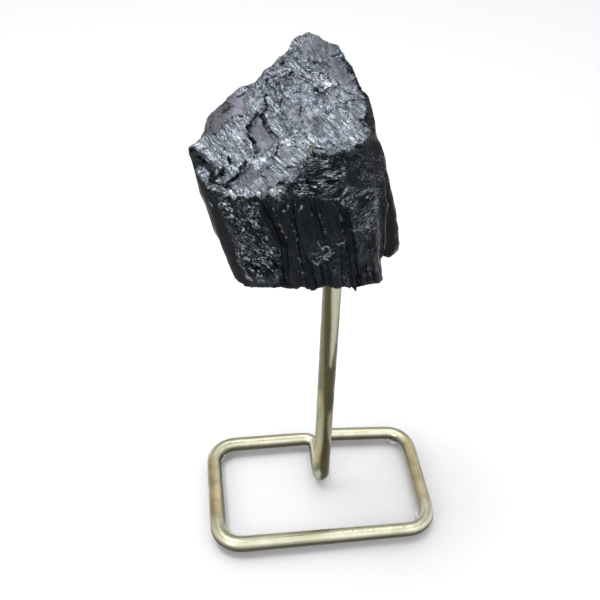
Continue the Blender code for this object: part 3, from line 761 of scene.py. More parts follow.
def fibre_frame(places, zones):
    """Distance across and along the local fibres, in pixels, and how marked they are."""
    u, v = zones["plain"]
    angle = np.full(len(u), math.radians(FIBRE_ELSEWHERE[0]))
    marked = np.full(len(u), FIBRE_ELSEWHERE[1])
    length = np.ones(len(u))
    lengthened = FIBRE_PATCHES + FLAKE_ZONES[1:3]
    for area in FIBRE_PATCHES + FLAKE_ZONES:
        outline, degrees, strength = area
        weight = area_weight(*zones["ragged"], outline, 2)
        angle = np.where(weight > 0.5, math.radians(degrees), angle)
        marked = marked + (strength - marked) * weight
        if area in lengthened:
            longer = 1 + FIBRE_LENGTHENING * min(strength, 1) * (1 - 0.6 * zones["flank"])
            length = np.where(weight > 0.5, longer, length)
    across = v * np.cos(angle) - u * np.sin(angle)
    along = (u * np.cos(angle) + v * np.sin(angle)) / length
    # on the flanks that the picture doesn't show, the grain runs up the crystal
    turn, up_axis, _ = around_prism(places)
    upright = (zones["seen"] < 0.5) & (zones["fracture"] < 0.5)
    across = np.where(upright, turn * PRISM_REACH / PIXEL, across)
    along = np.where(upright, up_axis / PIXEL * 0.4, along)
    # and on the fracture's far slope they lie along the crystal's plan
    far = (zones["seen"] < 0.5) & (zones["fracture"] >= 0.5)
    across = np.where(far, places[:, 0] / PIXEL, across)
    along = np.where(far, (places[:, 1] + places[:, 2]) / PIXEL, along)
    return across, along, np.where(far, 0.6, marked)


def blocky(u, v):
    """Picture places drawn towards the middle of small blocks, so that drawn edges turn jagged."""
    angle = math.radians(FIBRE_ELSEWHERE[0])
    cos, sin = math.cos(angle), math.sin(angle)
    across = v * cos - u * sin
    along = u * cos + v * sin
    for width, stretch, pull, seed in BLOCKS:
        gap_across, gap_along, _, _ = flat_cells(across / width, along / width / stretch, seed)
        shift_across = -gap_across * width * pull
        shift_along = -gap_along * width * stretch * pull
        u = u + shift_along * cos - shift_across * sin
        v = v + shift_along * sin + shift_across * cos
    return u, v


def jagged(zones, share):
    """Picture places, moved that share of the way to their blocky ones."""
    return [near + share * (far - near) for near, far in zip(zones["plain"], zones["ragged"])]


def facets(u, v, width, stretch, tilt, step, seed):
    """Flat tilted chips: height in millimetres, from a width in pixels."""
    offset_u, offset_v, _, chance = flat_cells(u / width, v / width / stretch, seed)
    slope_u = (chance[0] - 0.5) * 2 * tilt
    slope_v = (chance[1] - 0.5) * 2 * tilt
    size = width * PIXEL
    return (offset_u * slope_u + offset_v * stretch * slope_v * 0.5) * size \
        + (chance[2] - 0.5) * step


def chips(u, v, kind):
    return sum(facets(u, v, *size) for size in CHIPS[kind])


def fracture_height(places, zones, fibres):
    """Relief of the fracture in millimetres. Its crevices become a zone of painted shade."""
    across, along, marked = fibres
    across = across + 1.5 * layered_noise(places / 6.0, 31, 2)
    splinters = np.zeros(len(across))
    for strength, when_marked, *size in SPLINTERS:
        splinters += facets(across, along, *size) * (strength + when_marked * marked)
    combed = np.stack([across / 2.4, along / 8.0, np.zeros(len(across))], 1)
    crest = 1 - np.abs(soft_noise(combed, 65)) * 2.2
    splinters += 0.18 * np.clip(crest, 0, 1) ** 2 * rise(marked, 0.4, 0.9)
    rubble = chips(across, along, "rubble") * zones["rubble"]
    height = splinters * (1 - zones["rubble"]) + rubble
    height += 0.09 * layered_noise(places / 1.1, 91, 2)
    height *= 1 - 0.86 * zones["smooth"]
    height += chips(across, along, "smooth") * zones["smooth"] * 0.35
    height += 0.16 * soft_noise(places / 4.5, 95) * (1 - 0.7 * zones["smooth"])
    crevice = np.zeros(len(across))
    for path, start_width, end_width, depth in CREVICES:
        jagged_places = jagged(zones, 0.4 if max(start_width, end_width) < 1.1 else 0.8)
        cut = cut_along(*jagged_places, path, start_width, end_width, CREVICE_CORE)
        cut = cut * zones["fracture"] * zones["in_view"]
        height -= depth * cut
        crevice = np.maximum(crevice, cut)
    zones["crevice"] = crevice
    for path, rising, reach in LEDGES:
        away, side, share = path_offset(*zones["ragged"], path)
        near = np.clip(1 - away / reach, 0, 1)
        middle = rise(share, 0, LEDGE_TAPER) * rise(1 - share, 0, LEDGE_TAPER)
        height += rising * (near * middle) * (side < 0) * zones["in_view"]
    height += 0.25 * zones["clump"] * zones["fracture"]
    height += chips(across, along, "rim") * zones["rim"]
    height += chips(across, along, "far slope") * (1 - zones["in_view"])
    # the grain turns at the outline: less relief there, so that no thorns stand out
    height *= 1 - OUTLINE_CALM * zones["outline"]
    return height


def around_prism(places):
    """Turn about the crystal's axis, height along it and the offset from it."""
    axis = np.array(PRISM_AXIS)
    from_middle = places - PRISM_MIDDLE
    up_axis = from_middle @ axis
    level = from_middle - up_axis[:, None] * axis
    return np.arctan2(level[:, 1], level[:, 0]), up_axis, level


def flank_height(places, zones, fibres):
    """Relief of the flanks in millimetres. What is sunk in them becomes a zone of painted shade.
    """
    turn, up_axis, level = around_prism(places)
    stretched = level + np.array(PRISM_AXIS) * (up_axis / COLUMN_STRETCH)[:, None]
    lines = 0.10 * layered_noise(stretched / 1.1, 101, 2)
    lines += 0.16 * soft_noise(stretched / 2.6, 105)
    # the borders of the columns wander a little
    wander = turn + 0.03 * soft_noise(stretched / 3.0, 111)
    columns = np.zeros(len(turn))
    for width, tilt, step, seed in COLUMNS:
        row = np.full(len(turn), 0.5)
        offset, _, _, chance = flat_cells(wander * PRISM_REACH / width, row, seed)
        columns += offset * (chance[0] - 0.5) * tilt + (chance[1] - 0.5) * step
    snapped = chips(turn * PRISM_REACH / PIXEL, up_axis / PIXEL, "snapped columns")
    snapped = snapped * rise(soft_noise(places / 6.0, 151), -0.1, 0.4)
    seen, flaky = zones["seen"], zones["flaky"]
    hidden = 1 - seen
    height = lines + columns * (0.35 + 0.65 * hidden + 0.9 * zones["back"])
    height += snapped * (0.3 + 0.7 * hidden + 0.5 * zones["back"])

    across, along, _ = fibres
    height = height * (1 - 0.85 * zones["calm"]) * (1 - 0.6 * flaky)
    height += chips(across, along, "flakes") * flaky
    lanes, sunk = lane_relief(jagged(zones, 0.25)[0], zones["plain"][1])
    height += lanes * seen * (1 - 0.7 * flaky)
    groove = sunk * (1 - 0.8 * flaky)
    for path, start_width, end_width, depth in GROOVES:
        cut = cut_along(*zones["plain"], path, start_width, end_width, GROOVE_CORE) * seen
        height -= depth * cut
        groove = np.maximum(groove, cut * 0.7)
    zones["groove"] = groove * zones["flank"] * seen
    height += chips(across, along, "rim of the flank") * zones["rim"] * (1 - zones["fracture"])
    height += 0.10 * layered_noise(places / 2.6, 195, 3)
    return height


def lane_relief(u, v):
    """Relief of the front's columns: flat faces between the drawn edges. Also how sunk it is."""
    relief = np.zeros(len(u))
    edges = [np.interp(v, LANE_ROWS, columns) for columns, _, _ in LANES]
    for index in range(len(LANES) - 1):
        left, right = edges[index], edges[index + 1]
        share = np.clip((u - left) / np.maximum(right - left, 0.01), 0, 1)
        between = (u >= left) & (u < right)
        start, end = LANES[index][2], LANES[index + 1][1]
        relief = np.where(between, start + (end - start) * share, relief)
    relief *= rise(v, 194, 214)
    return relief, rise(-relief, 0.12, 0.45)


def chip_and_glint_marks(places, zones):
    """Small pale chips, partly painted glints, along the sharp edges and cracks of the front, and
    dotted glints.
    """
    at = jagged(zones, 0.35)
    marks = np.zeros(len(places))
    for path, half in CHIP_PATHS:
        away = path_offset(*at, path)[0]
        marks = np.maximum(marks, 1 - rise(away, half * 0.3, half * 0.8 + 0.25))
    marks *= 0.35 + 0.65 * rise(soft_noise(places / 0.4, 201), -0.3, 0.3)
    dots = rise(soft_noise(places / 0.38, 211), 0.15, 0.6)
    for path in GLINT_DOTTED_EDGES:
        near = 1 - rise(path_offset(*at, path)[0], 0.3, 1.5)
        marks = np.maximum(marks, dots * near * 0.5)
    return marks * zones["seen"] * zones["flank"]


def build_stone():
    piece = stone_start()
    mesh = piece.data
    edges = rows_of(mesh.edges, "vertices", 2, np.int32)
    relax = RELAX_ROUNDS
    places = nudged(relaxed(mesh_places(mesh), edges, relax))
    places = flattened(places, mesh_normals(mesh))
    set_places(mesh, places)
    normals = relaxed(mesh_normals(mesh), edges, relax)
    normals /= np.linalg.norm(normals, axis=1)[:, None]
    zones = stone_zones(places, normals)
    fibres = fibre_frame(places, zones)
    height = fracture_height(places, zones, fibres) * zones["fracture"]
    height += flank_height(places, zones, fibres) * zones["flank"]
    under = chips(places[:, 0] / PIXEL, places[:, 1] / PIXEL, "underside")
    height += (under + 0.2 * layered_noise(places / 1.5, 255)) * zones["underside"]
    height *= 1 - zones["drilled"]
    moved = places + normals * height[:, None]
    # thorns that stand out along the outline are worn down
    moved += (relaxed(moved, edges, OUTLINE_ROUNDS) - moved) * zones["outline"][:, None]
    set_places(mesh, kept_inside(moved, cad_box, BOX_MARGIN))

    across, along, marked = fibres
    set_vectors(mesh, "zone", zones["fracture"], zones["smooth"], zones["crevice"])
    set_vectors(mesh, "tint", zones["violet"], zones["brown"], zones["spot"])
    set_vectors(mesh, "wear_and_glints", chip_and_glint_marks(places, zones), zones["flaky"], zones["calm"])
    set_vectors(mesh, "deep", zones["groove"], zones["clump"], zones["underside"])
    set_vectors(mesh, "grain", across * PIXEL, along * PIXEL, marked)
    set_vectors(mesh, "tone", zones["dark"], zones["pale"], zones["back"] * zones["flank"])

    spare = piece.vertex_groups.new(name="spare")
    plain = 0.25 + 0.75 * (1 - zones["seen"]) * (1 - 0.6 * zones["fracture"])
    for grade in range(SPARE_STEPS + 1):
        chosen = np.nonzero(np.round(plain * SPARE_STEPS).astype(int) == grade)[0]
        spare.add([int(index) for index in chosen], grade / SPARE_STEPS, "REPLACE")
    fewer = piece.modifiers.new("fewer", "DECIMATE")
    fewer.vertex_group = "spare"
    fewer.ratio = FACE_BUDGET / (2 * len(mesh.polygons))
    fewer.use_collapse_triangulate = True
    mesh = evaluated(piece)
    piece.modifiers.clear()
    piece.vertex_groups.clear()
    piece.data = mesh
    shade_smooth(mesh, STONE_SHARP)
    return piece


# ---------------------------------------------------------------- materials
class Recipe:
    """A node material, built up from small steps."""

    def __init__(self, name):
        self.material = bpy.data.materials.new(name)
        self.material.use_nodes = True
        self.tree = self.material.node_tree
        self.shader = self.tree.nodes["Principled BSDF"]

    def feed(self, socket, value):
        if isinstance(value, bpy.types.NodeSocket):
            self.tree.links.new(value, socket)
        elif socket.type == "RGBA" and len(value) == 3:
            socket.default_value = (*value, 1.0)
        else:
            socket.default_value = value

    def step(self, kind, inputs, output=0, **settings):
        node = self.tree.nodes.new(kind)
        for name, value in settings.items():
            setattr(node, name, value)
        for name, value in inputs.items():
            self.feed(node.inputs[name], value)
        return node.outputs[output]

    def shade(self, **values):
        for name, value in values.items():
            self.feed(self.shader.inputs[name.replace("_", " ")], value)

    def parts(self, attribute):
        """The three numbers that a vertex attribute holds."""
        vector = self.step("ShaderNodeAttribute", {}, "Vector", attribute_name=attribute)
        node = self.tree.nodes.new("ShaderNodeSeparateXYZ")
        self.tree.links.new(vector, node.inputs[0])
        return node.outputs[0], node.outputs[1], node.outputs[2]

    def join(self, x, y, z):
        return self.step("ShaderNodeCombineXYZ", {0: x, 1: y, 2: z})

    def stretched(self, vector, scales):
        return self.step("ShaderNodeMapping", {"Vector": vector, "Scale": scales})

    def noise(self, vector, scale, detail, roughness, distortion=0.0):
        inputs = {"Vector": vector, "Scale": scale, "Detail": detail, "Roughness": roughness}
        return self.step("ShaderNodeTexNoise", {**inputs, "Distortion": distortion})

    def streaks(self, vector, scales, detail, roughness, distortion=0.0):
        """Noise with a scale of its own along each axis."""
        return self.noise(self.stretched(vector, scales), 1.0, detail, roughness, distortion)

    def crests(self, value, width):
        """1 along the thin lines where the value crosses its middle."""
        away = self.sum(self.sum(value, 0.5, "SUBTRACT"), 0.0, "ABSOLUTE")
        return self.spread(away, 0.004, width, 1.0, 0.0)

    def spread(self, value, low, high, new_low=0.0, new_high=1.0):
        inputs = {0: value, 1: low, 2: high, 3: new_low, 4: new_high}
        return self.step("ShaderNodeMapRange", inputs, interpolation_type="SMOOTHSTEP")

    def sum(self, first, second, operation="ADD"):
        return self.step("ShaderNodeMath", {0: first, 1: second}, operation=operation)

    def times(self, first, second):
        return self.sum(first, second, "MULTIPLY")

    def mix(self, share, first, second):
        return self.step("ShaderNodeMix", {0: share, 6: first, 7: second}, 2, data_type="RGBA")

    def blend(self, share, first, second):
        return self.step("ShaderNodeMix", {0: share, 2: first, 3: second}, 0)

    def shades(self, value, low, high, first, second):
        """From the first colour to the second, as the value goes from low to high."""
        return self.mix(self.spread(value, low, high), first, second)

    def painted(self, colour, layers):
        """The colour under layers of paint: where each lies, how densely, and its colour."""
        for where, share, paint in layers:
            colour = self.mix(self.times(where, share), colour, paint)
        return colour

    def cells(self, vector, scales):
        """Scattered flat cells: a random number for each, and a random colour."""
        inputs = {"Vector": self.stretched(vector, scales), "Scale": 1.0}
        colour = self.step("ShaderNodeTexVoronoi", inputs, "Color", voronoi_dimensions="2D")
        return self.step("ShaderNodeSeparateColor", {0: colour}), colour

    def vectors(self, inputs, operation):
        return self.step("ShaderNodeVectorMath", inputs, operation=operation)

    def leaned(self, normal, colour, amount):
        """The normal, leaning a different way on every cell."""
        lean = self.vectors({0: colour, 1: (0.5, 0.5, 0.5)}, "SUBTRACT")
        lean = self.vectors({0: lean, "Scale": amount}, "SCALE")
        return self.vectors({0: self.vectors({0: normal, 1: lean}, "ADD")}, "NORMALIZE")

    def bump(self, height, distance, strength=1.0, below=None):
        inputs = {"Height": height, "Distance": distance, "Strength": strength}
        if below is not None:
            inputs["Normal"] = below
        return self.step("ShaderNodeBump", inputs)


def object_places(recipe):
    return recipe.step("ShaderNodeTexCoord", {}, "Object")


def tourmaline_material():
    made = Recipe("black_tourmaline_surface")
    fracture, smooth, crevice = made.parts("zone")
    violet, brown, spot = made.parts("tint")
    chip_and_glint, rough, calm = made.parts("wear_and_glints")
    groove, clump, underside = made.parts("deep")
    dark, pale, hidden = made.parts("tone")
    across, along, marked = made.parts("grain")
    places = object_places(made)
    grain = made.join(across, along, 0.0)
    crumbs = made.noise(places, 1300.0, 3.0, 0.6)
    clouds = made.noise(places, 190.0, 3.0, 0.55)

    # fracture: fibres, thin streaks that lie along the local grain
    fibre = made.streaks(grain, (1.9, 0.26, 1.0), 3.0, 0.6, 0.5)
    fine_fibre = made.streaks(grain, (3.6, 0.55, 1.0), 3.0, 0.65, 0.6)
    shards, shard_face = made.cells(grain, (1.8, 0.8, 1.0))
    splinters, splinter_face = made.cells(grain, (3.8, 1.8, 1.0))
    streak = made.blend(0.45, fibre, fine_fibre)
    streak = made.blend(made.spread(marked, 0.2, 1.0, 0.35, 0.8), crumbs, streak)
    crest = made.crests(made.streaks(grain, (2.2, 0.60, 1.0), 1.5, 0.5, 0.7), 0.05)
    crest = made.times(crest, made.spread(marked, 0.4, 0.9))
    shine = made.blend(0.4, streak, made.blend(0.4, shards, splinters))
    mottle = made.blend(0.4, clouds, made.blend(0.5, crumbs, streak))
    calm_grey = made.shades(crumbs, 0.3, 0.7, (0.070, 0.072, 0.080), (0.11, 0.112, 0.125))
    plum = made.shades(mottle, 0.42, 0.58, (0.068, 0.066, 0.080), (0.125, 0.125, 0.152))
    umber = made.shades(mottle, 0.42, 0.58, (0.030, 0.028, 0.032), (0.052, 0.049, 0.056))
    # the stone is black: this silver is partly painted sheen, its shine given as a pale, partly
    # metallic base colour
    silver = made.shades(shine, 0.30, 0.72, (0.052, 0.058, 0.070), (0.25, 0.275, 0.31))
    silver = made.mix(made.spread(clouds, 0.44, 0.66), silver, (0.100, 0.114, 0.132))
    silver = made.painted(silver, (
        # painted highlights along the fibres' crests, which the bump also raises
        (crest, 0.55, (0.48, 0.51, 0.55)),
        # darker stretches, along the top rim painted shade
        (dark, 0.5, (0.035, 0.038, 0.043)),
        (pale, 0.4, (0.34, 0.37, 0.40)),
        (smooth, 0.85, calm_grey),
        (violet, 0.8, plum),
        (brown, 0.85, umber),
        (spot, 0.85, (0.10, 0.095, 0.055)),
        # painted glints
        (clump, 0.75, (0.42, 0.43, 0.45)),
        # painted shade in the crevices
        (crevice, 0.92, (0.006, 0.006, 0.007)),
    ))

    # flanks: near black, striated along the crystal's axis
    turn = PRISM_AXIS.to_track_quat("Z", "Y").inverted().to_euler()
    upright = made.step("ShaderNodeMapping", {"Vector": places, "Rotation": tuple(turn)})
    lines = made.streaks(upright, (1500.0, 1500.0, 90.0), 3.0, 0.6, 0.3)
    fine_lines = made.streaks(upright, (3800.0, 3800.0, 160.0), 2.0, 0.6)
    sheen = made.times(made.spread(lines, 0.46, 0.70), made.spread(clouds, 0.40, 0.62))
    ridge_glint = made.crests(made.streaks(grain, (1.7, 0.34, 1.0), 1.0, 0.4, 0.3), 0.05)
    ripple_glint = made.crests(made.streaks(grain, (1.6, 0.42, 1.0), 1.5, 0.5, 0.8), 0.030)
    ripple_glint = made.times(ripple_glint, made.spread(clouds, 0.42, 0.58))
    # the brightest flakes and the ripples' crests are painted glints
    flake_glint = made.spread(made.blend(0.6, shards, splinters), 0.64, 0.82)
    flake_glint = made.sum(flake_glint, made.times(ripple_glint, 0.85), "MAXIMUM")
    flakes = made.mix(flake_glint, (0.003, 0.0038, 0.0045), (0.36, 0.39, 0.44))
    specks = made.spread(made.noise(places, 1700.0, 1.0, 0.5), 0.72, 0.79, 0.0, 0.4)
    specks = made.times(specks, made.spread(clouds, 0.45, 0.6))
    dull = made.shades(crumbs, 0.35, 0.65, (0.005, 0.005, 0.006), (0.028, 0.028, 0.030))
    black = made.shades(lines, 0.3, 0.7, (0.002, 0.0024, 0.0028), (0.007, 0.008, 0.009))
    black = made.painted(black, (
        (calm, 0.75, (0.009, 0.0086, 0.0086)),
        # painted sheen along the lines of the hidden flanks
        (hidden, made.times(sheen, 0.6), (0.050, 0.054, 0.062)),
        # painted glints along their ridges
        (hidden, made.times(ridge_glint, 0.5), (0.085, 0.092, 0.105)),
        # the flakes, their brightest painted glints
        (rough, 0.9, flakes),
        # painted shade in the sunk columns and grooves
        (groove, 0.85, (0.0008, 0.0012, 0.0014)),
        # pale chips, partly painted glints along edges
        (chip_and_glint, 0.8, (0.29, 0.30, 0.31)),
        (specks, 1.0, (0.22, 0.22, 0.22)),
        (underside, 0.8, dull),
    ))
    made.shade(Base_Color=made.mix(fracture, black, silver))

    open_face = made.times(fracture, made.spread(crevice, 0.1, 0.8, 1.0, 0.0))
    gleam = made.times(open_face, made.blend(made.times(smooth, 0.8), 0.62, 0.30))
    glint = made.times(made.times(rough, flake_glint), 0.6)
    made.shade(Metallic=made.sum(gleam, glint, "MAXIMUM"))
    top_rough = made.blend(smooth, made.spread(streak, 0.3, 0.7, 0.28, 0.44), 0.58)
    side_rough = made.spread(lines, 0.3, 0.7, 0.24, 0.40)
    side_rough = made.blend(made.times(calm, 0.9), side_rough, 0.85)
    made.shade(Roughness=made.blend(fracture, side_rough, top_rough))
    made.shade(IOR=1.62, Specular_IOR_Level=0.07, Specular_Tint=(0.74, 0.90, 1.0))

    top_relief = made.sum(streak, made.times(crest, 0.4))
    top_relief = made.blend(made.times(smooth, 0.75), top_relief, 0.5)
    side_relief = made.blend(made.times(calm, 0.7), made.blend(0.35, lines, fine_lines), 0.5)
    relief = made.blend(fracture, side_relief, top_relief)
    coarse = made.bump(relief, 0.00028, 0.9)
    fine = made.bump(crumbs, 0.00006, 0.5, coarse)
    faceted = made.sum(made.times(fracture, made.blend(smooth, 1.0, 0.15)), rough, "MAXIMUM")
    fine = made.leaned(fine, shard_face, made.times(faceted, 0.55))
    made.shade(Normal=made.leaned(fine, splinter_face, made.times(faceted, 0.40)))
    return made.material


def brass_material():
    made = Recipe("satin_brass_wire")
    places = object_places(made)
    clouds = made.noise(places, 95.0, 3.0, 0.55)
    brushed = made.noise(places, 900.0, 3.0, 0.6)
    specks = made.noise(places, 2600.0, 2.0, 0.5)
    dark, pale, yellow = made.parts("post_reflections")
    post, side, below = made.parts("tarnish_and_shade")
    brass = made.shades(clouds, 0.35, 0.65, (0.57, 0.555, 0.400), (0.71, 0.700, 0.550))
    mottles = made.noise(places, 270.0, 2.0, 0.5)
    golden = made.shades(mottles, 0.42, 0.60, (0.285, 0.220, 0.102), (0.190, 0.143, 0.062))
    brass = made.painted(brass, (
        # tarnished colour on the side wires, thinned on their right shoulders as a painted
        # highlight
        (side, 0.85, golden),
        # painted shade and dark reflections below, along the top and at the sides' edges
        (below, 0.95, (0.055, 0.054, 0.028)),
        # painted shade over the whole post
        (post, 0.95, (0.148, 0.143, 0.086)),
        # painted dark, pale and yellowish reflections on the post
        (dark, 0.95, (0.070, 0.062, 0.028)),
        (pale, 0.95, (0.50, 0.485, 0.375)),
        (yellow, 0.9, (0.50, 0.455, 0.250)),
        (made.spread(brushed, 0.55, 0.75), 0.25, (0.16, 0.145, 0.08)),
        (made.spread(specks, 0.70, 0.78), 0.3, (0.07, 0.062, 0.04)),
    ))
    made.shade(Base_Color=brass, Metallic=1.0)
    made.shade(Roughness=made.spread(brushed, 0.3, 0.7, 0.26, 0.38))
    made.shade(Normal=made.bump(brushed, 0.00003, 0.5))
    return made.material


def silicone_material():
    made = Recipe("clear_silicone_dot")
    places = object_places(made)
    haze = made.noise(places, 420.0, 3.0, 0.5)
    made.shade(Base_Color=(0.90, 0.91, 0.90), Transmission_Weight=0.6, IOR=1.41)
    made.shade(Roughness=made.spread(haze, 0.3, 0.7, 0.08, 0.22))
    made.shade(Normal=made.bump(haze, 0.00004, 0.3))
    return made.material


def floor_material():
    made = Recipe("pale_floor")
    places = object_places(made)
    paper = made.noise(places, 900.0, 2.0, 0.5)
    pale = made.shades(paper, 0.3, 0.7, (0.468, 0.468, 0.468), (0.478, 0.478, 0.478))
    made.shade(Base_Color=pale, Roughness=0.9, Specular_IOR_Level=0.1)
    return made.material


# ---------------------------------------------------------------- wire stand, millimetres
LOOP_WIDTH = 58.9
LOOP_FRONT, LOOP_BACK = -18.1, 17.6
LOOP_CORNER = 6.2                       # radius of its bends
LOOP_CORNERS = ((1, 1, 0.95), (1, -1, 0.97), (-1, -1, 1.1), (-1, 1, 1.02))  # side, end, thickness
WIRE_RADIUS = 2.0
WIRE_Z = 3.7
POST_RADIUS = 2.31
POST_AT = (1.3, 2.7)                    # from the loop's middle
POST_TOP = 96.9
POST_BEND = 2.6
RUN_BEND = 2.6
RUN_PINCH = 0.84                        # how thick the wire stays in the bend of the short run
LOOSE_END_BACK = 1.2
LOOSE_END_X = POST_AT[0] + WIRE_RADIUS + 0.45
BEND_STEPS = 14
WIRE_SIDES = 40
WIRE_SPACING = 0.8
WIRE_END_ROUND = 0.35
END_TURNS = (0.5, 1.0, math.pi / 2)     # the rings of a rounded end, as turns over its edge
END_FLAT = 0.4                          # the flat of an end, as a share of the radius
POINT_SMOOTHING, WIDTH_SMOOTHING = 3, 25
DENT_DEPTH, RIPPLE_DEPTH = 0.05, 0.012
POST_FADE = (3.0, 4.5)                  # the post's painted shade and reflections end between these, out from its axis,
POST_FOOT = (0.5, 5.0)                  # and its painted shade starts between these heights
SIDE_WIRES = (24.0, 29.0)               # the side wires' look starts between these, out in X,
SIDE_ENDS = (9.0, 15.0)                 # and ends between these, out in Y
WIRE_SHARP = 50                         # degrees
MIDDLE = (0.08, 0.73)                   # from the loop's middle to the middle of the object
DRILLED_FROM = 86                       # above this height the post isn't dented

# Painted reflections on the post, drawn in pixels: dark and pale bands, a glint, and yellowish
# highlights.
POST_DARK_REFLECTIONS = (
    ((325.0, 230), (332.0, 230), (331.5, 284), (331.0, 325), (330.5, 345), (331.0, 354),
     (334.0, 359), (337.5, 356), (336.5, 385), (335.0, 400), (332.0, 407), (328.5, 413),
     (327.5, 425), (328.0, 436), (331.0, 447), (330.5, 460), (329.0, 475), (326.0, 484),
     (321.0, 484), (319.6, 470), (321.0, 455), (322.8, 440), (323.5, 420), (323.8, 400),
     (324.3, 380), (324.0, 345), (325.0, 284)),
    ((336.8, 316), (339.5, 316), (338.5, 345), (337.5, 362), (334.2, 362), (335.2, 345)),
)
POST_PALE_REFLECTIONS = (
    ((332.5, 230), (344.0, 230), (341.0, 284), (339.2, 300), (337.5, 322), (335.8, 340),
     (333.6, 352), (331.0, 368), (329.8, 366), (330.6, 350), (331.8, 330), (332.0, 284)),
    ((318.5, 402), (320.5, 402), (322.2, 420), (322.0, 442), (320.5, 452), (317.5, 444),
     (316.0, 425)),
    ((314.5, 472), (319.5, 470), (321.0, 474), (319.0, 479), (315.5, 478)),
)
POST_YELLOW_HIGHLIGHTS = (
    ((319.0, 391), (321.0, 391), (324.0, 414), (323.8, 432), (321.5, 448), (318.0, 462),
     (313.0, 466), (312.0, 446), (313.5, 425)),
    ((328.5, 416), (333.0, 412), (332.5, 432), (331.0, 446), (328.5, 438)),
)
POST_SOFTNESS = (2.2, 3.0, 6.0)         # how softly each kind ends


def quarter(centre, start, end):
    """A quarter of a circle, from its start to its end."""
    first = np.subtract(start, centre)
    last = np.subtract(end, centre)
    turns = np.linspace(0, math.pi / 2, BEND_STEPS + 1)
    return [np.add(centre, first * math.cos(t) + last * math.sin(t)) for t in turns]


def wire_route():
    """The wire's centre line and radius, from its loose end to the end inside the stone."""
    route = [np.array((LOOSE_END_X, LOOP_BACK + LOOSE_END_BACK, WIRE_Z))]
    radii = [WIRE_RADIUS]
    for side_x, side_y, share in LOOP_CORNERS:
        edge_x = side_x * LOOP_WIDTH / 2
        edge_y = LOOP_BACK if side_y > 0 else LOOP_FRONT
        level = WIRE_Z + WIRE_RADIUS * (share - 1)
        centre = (edge_x - side_x * LOOP_CORNER, edge_y - side_y * LOOP_CORNER, level)
        on_side = (edge_x, centre[1], level)
        on_end = (centre[0], edge_y, level)
        start, end = (on_end, on_side) if side_x == side_y else (on_side, on_end)
        bend = quarter(centre, start, end)
        route += bend
        radii += [WIRE_RADIUS * share] * len(bend)
    start = (POST_AT[0] - RUN_BEND, LOOP_BACK, WIRE_Z)
    end = (POST_AT[0], LOOP_BACK - RUN_BEND, WIRE_Z)
    bend = quarter((start[0], end[1], WIRE_Z), start, end)
    route += bend
    for turn in np.linspace(0, math.pi, len(bend)):
        radii.append(WIRE_RADIUS * (1 - (1 - RUN_PINCH) * math.sin(turn)))
    start = (POST_AT[0], POST_AT[1] + POST_BEND, WIRE_Z)
    end = (POST_AT[0], POST_AT[1], WIRE_Z + POST_BEND)
    bend = quarter((POST_AT[0], start[1], end[2]), start, end)
    route += bend
    radii += [POST_RADIUS] * len(bend)
    route.append(np.array((*POST_AT, POST_TOP)))
    radii.append(POST_RADIUS)
    return np.array(route) - (*MIDDLE, 0.0), np.array(radii)


def evenly(route, radii, spacing):
    """The route and its radii again, at equal steps."""
    gaps = np.linalg.norm(np.diff(route, axis=0), axis=1)
    run = np.concatenate([[0], np.cumsum(gaps)])
    wanted = np.linspace(0, run[-1], int(run[-1] / spacing) + 1)
    points = np.stack([np.interp(wanted, run, route[:, axis]) for axis in range(3)], 1)
    return points, np.interp(wanted, run, radii)


def swept_tube(name, points, radii, sides, end_round):
    """A round bar along the points, with small rounded ends."""
    ahead = np.gradient(points, axis=0)
    ahead /= np.linalg.norm(ahead, axis=1)[:, None]
    shape = bmesh.new()
    across = np.cross(ahead[0], (0.0, 0.0, 1.0))
    rings = []
    loops = []
    for centre, forward, radius in zip(points, ahead, radii):
        across = across - forward * np.dot(across, forward)
        across /= np.linalg.norm(across)
        rings.append((centre, across.copy(), np.cross(across, forward), radius))
        loops.append(ring_of(shape, *rings[-1], sides))
    caps = []
    for end, direction in ((0, -1), (-1, 1)):
        centre, right, up, radius = rings[end]
        previous = loops[end]
        for turn in END_TURNS:
            out = centre + ahead[end] * direction * end_round * math.sin(turn)
            smaller = radius - end_round * (1 - math.cos(turn))
            ring = ring_of(shape, out, right, up, smaller, sides)
            caps.append((previous, ring, direction))
            previous = ring
        middle = ring_of(shape, centre + ahead[end] * direction * end_round, right, up,
                         radius * END_FLAT, sides)
        caps.append((previous, middle, direction))
        face = middle if direction > 0 else list(reversed(middle))
        shape.faces.new(face)
    for lower, upper in zip(loops, loops[1:]):
        bridge(shape, lower, upper)
    for inner, outer, direction in caps:
        if direction > 0:
            bridge(shape, inner, outer)
        else:
            bridge(shape, outer, inner)
    return finished(shape, name)


def ring_of(shape, centre, right, up, radius, sides):
    ring = []
    for turn in np.arange(sides) * 2 * math.pi / sides:
        place = centre + (right * math.cos(turn) + up * math.sin(turn)) * radius
        ring.append(shape.verts.new(place * MM))
    return ring


def bridge(shape, lower, upper):
    for index, (a, b) in enumerate(zip(lower, upper)):
        shape.faces.new((a, lower[(index + 1) % len(lower)], upper[(index + 1) % len(upper)], b))


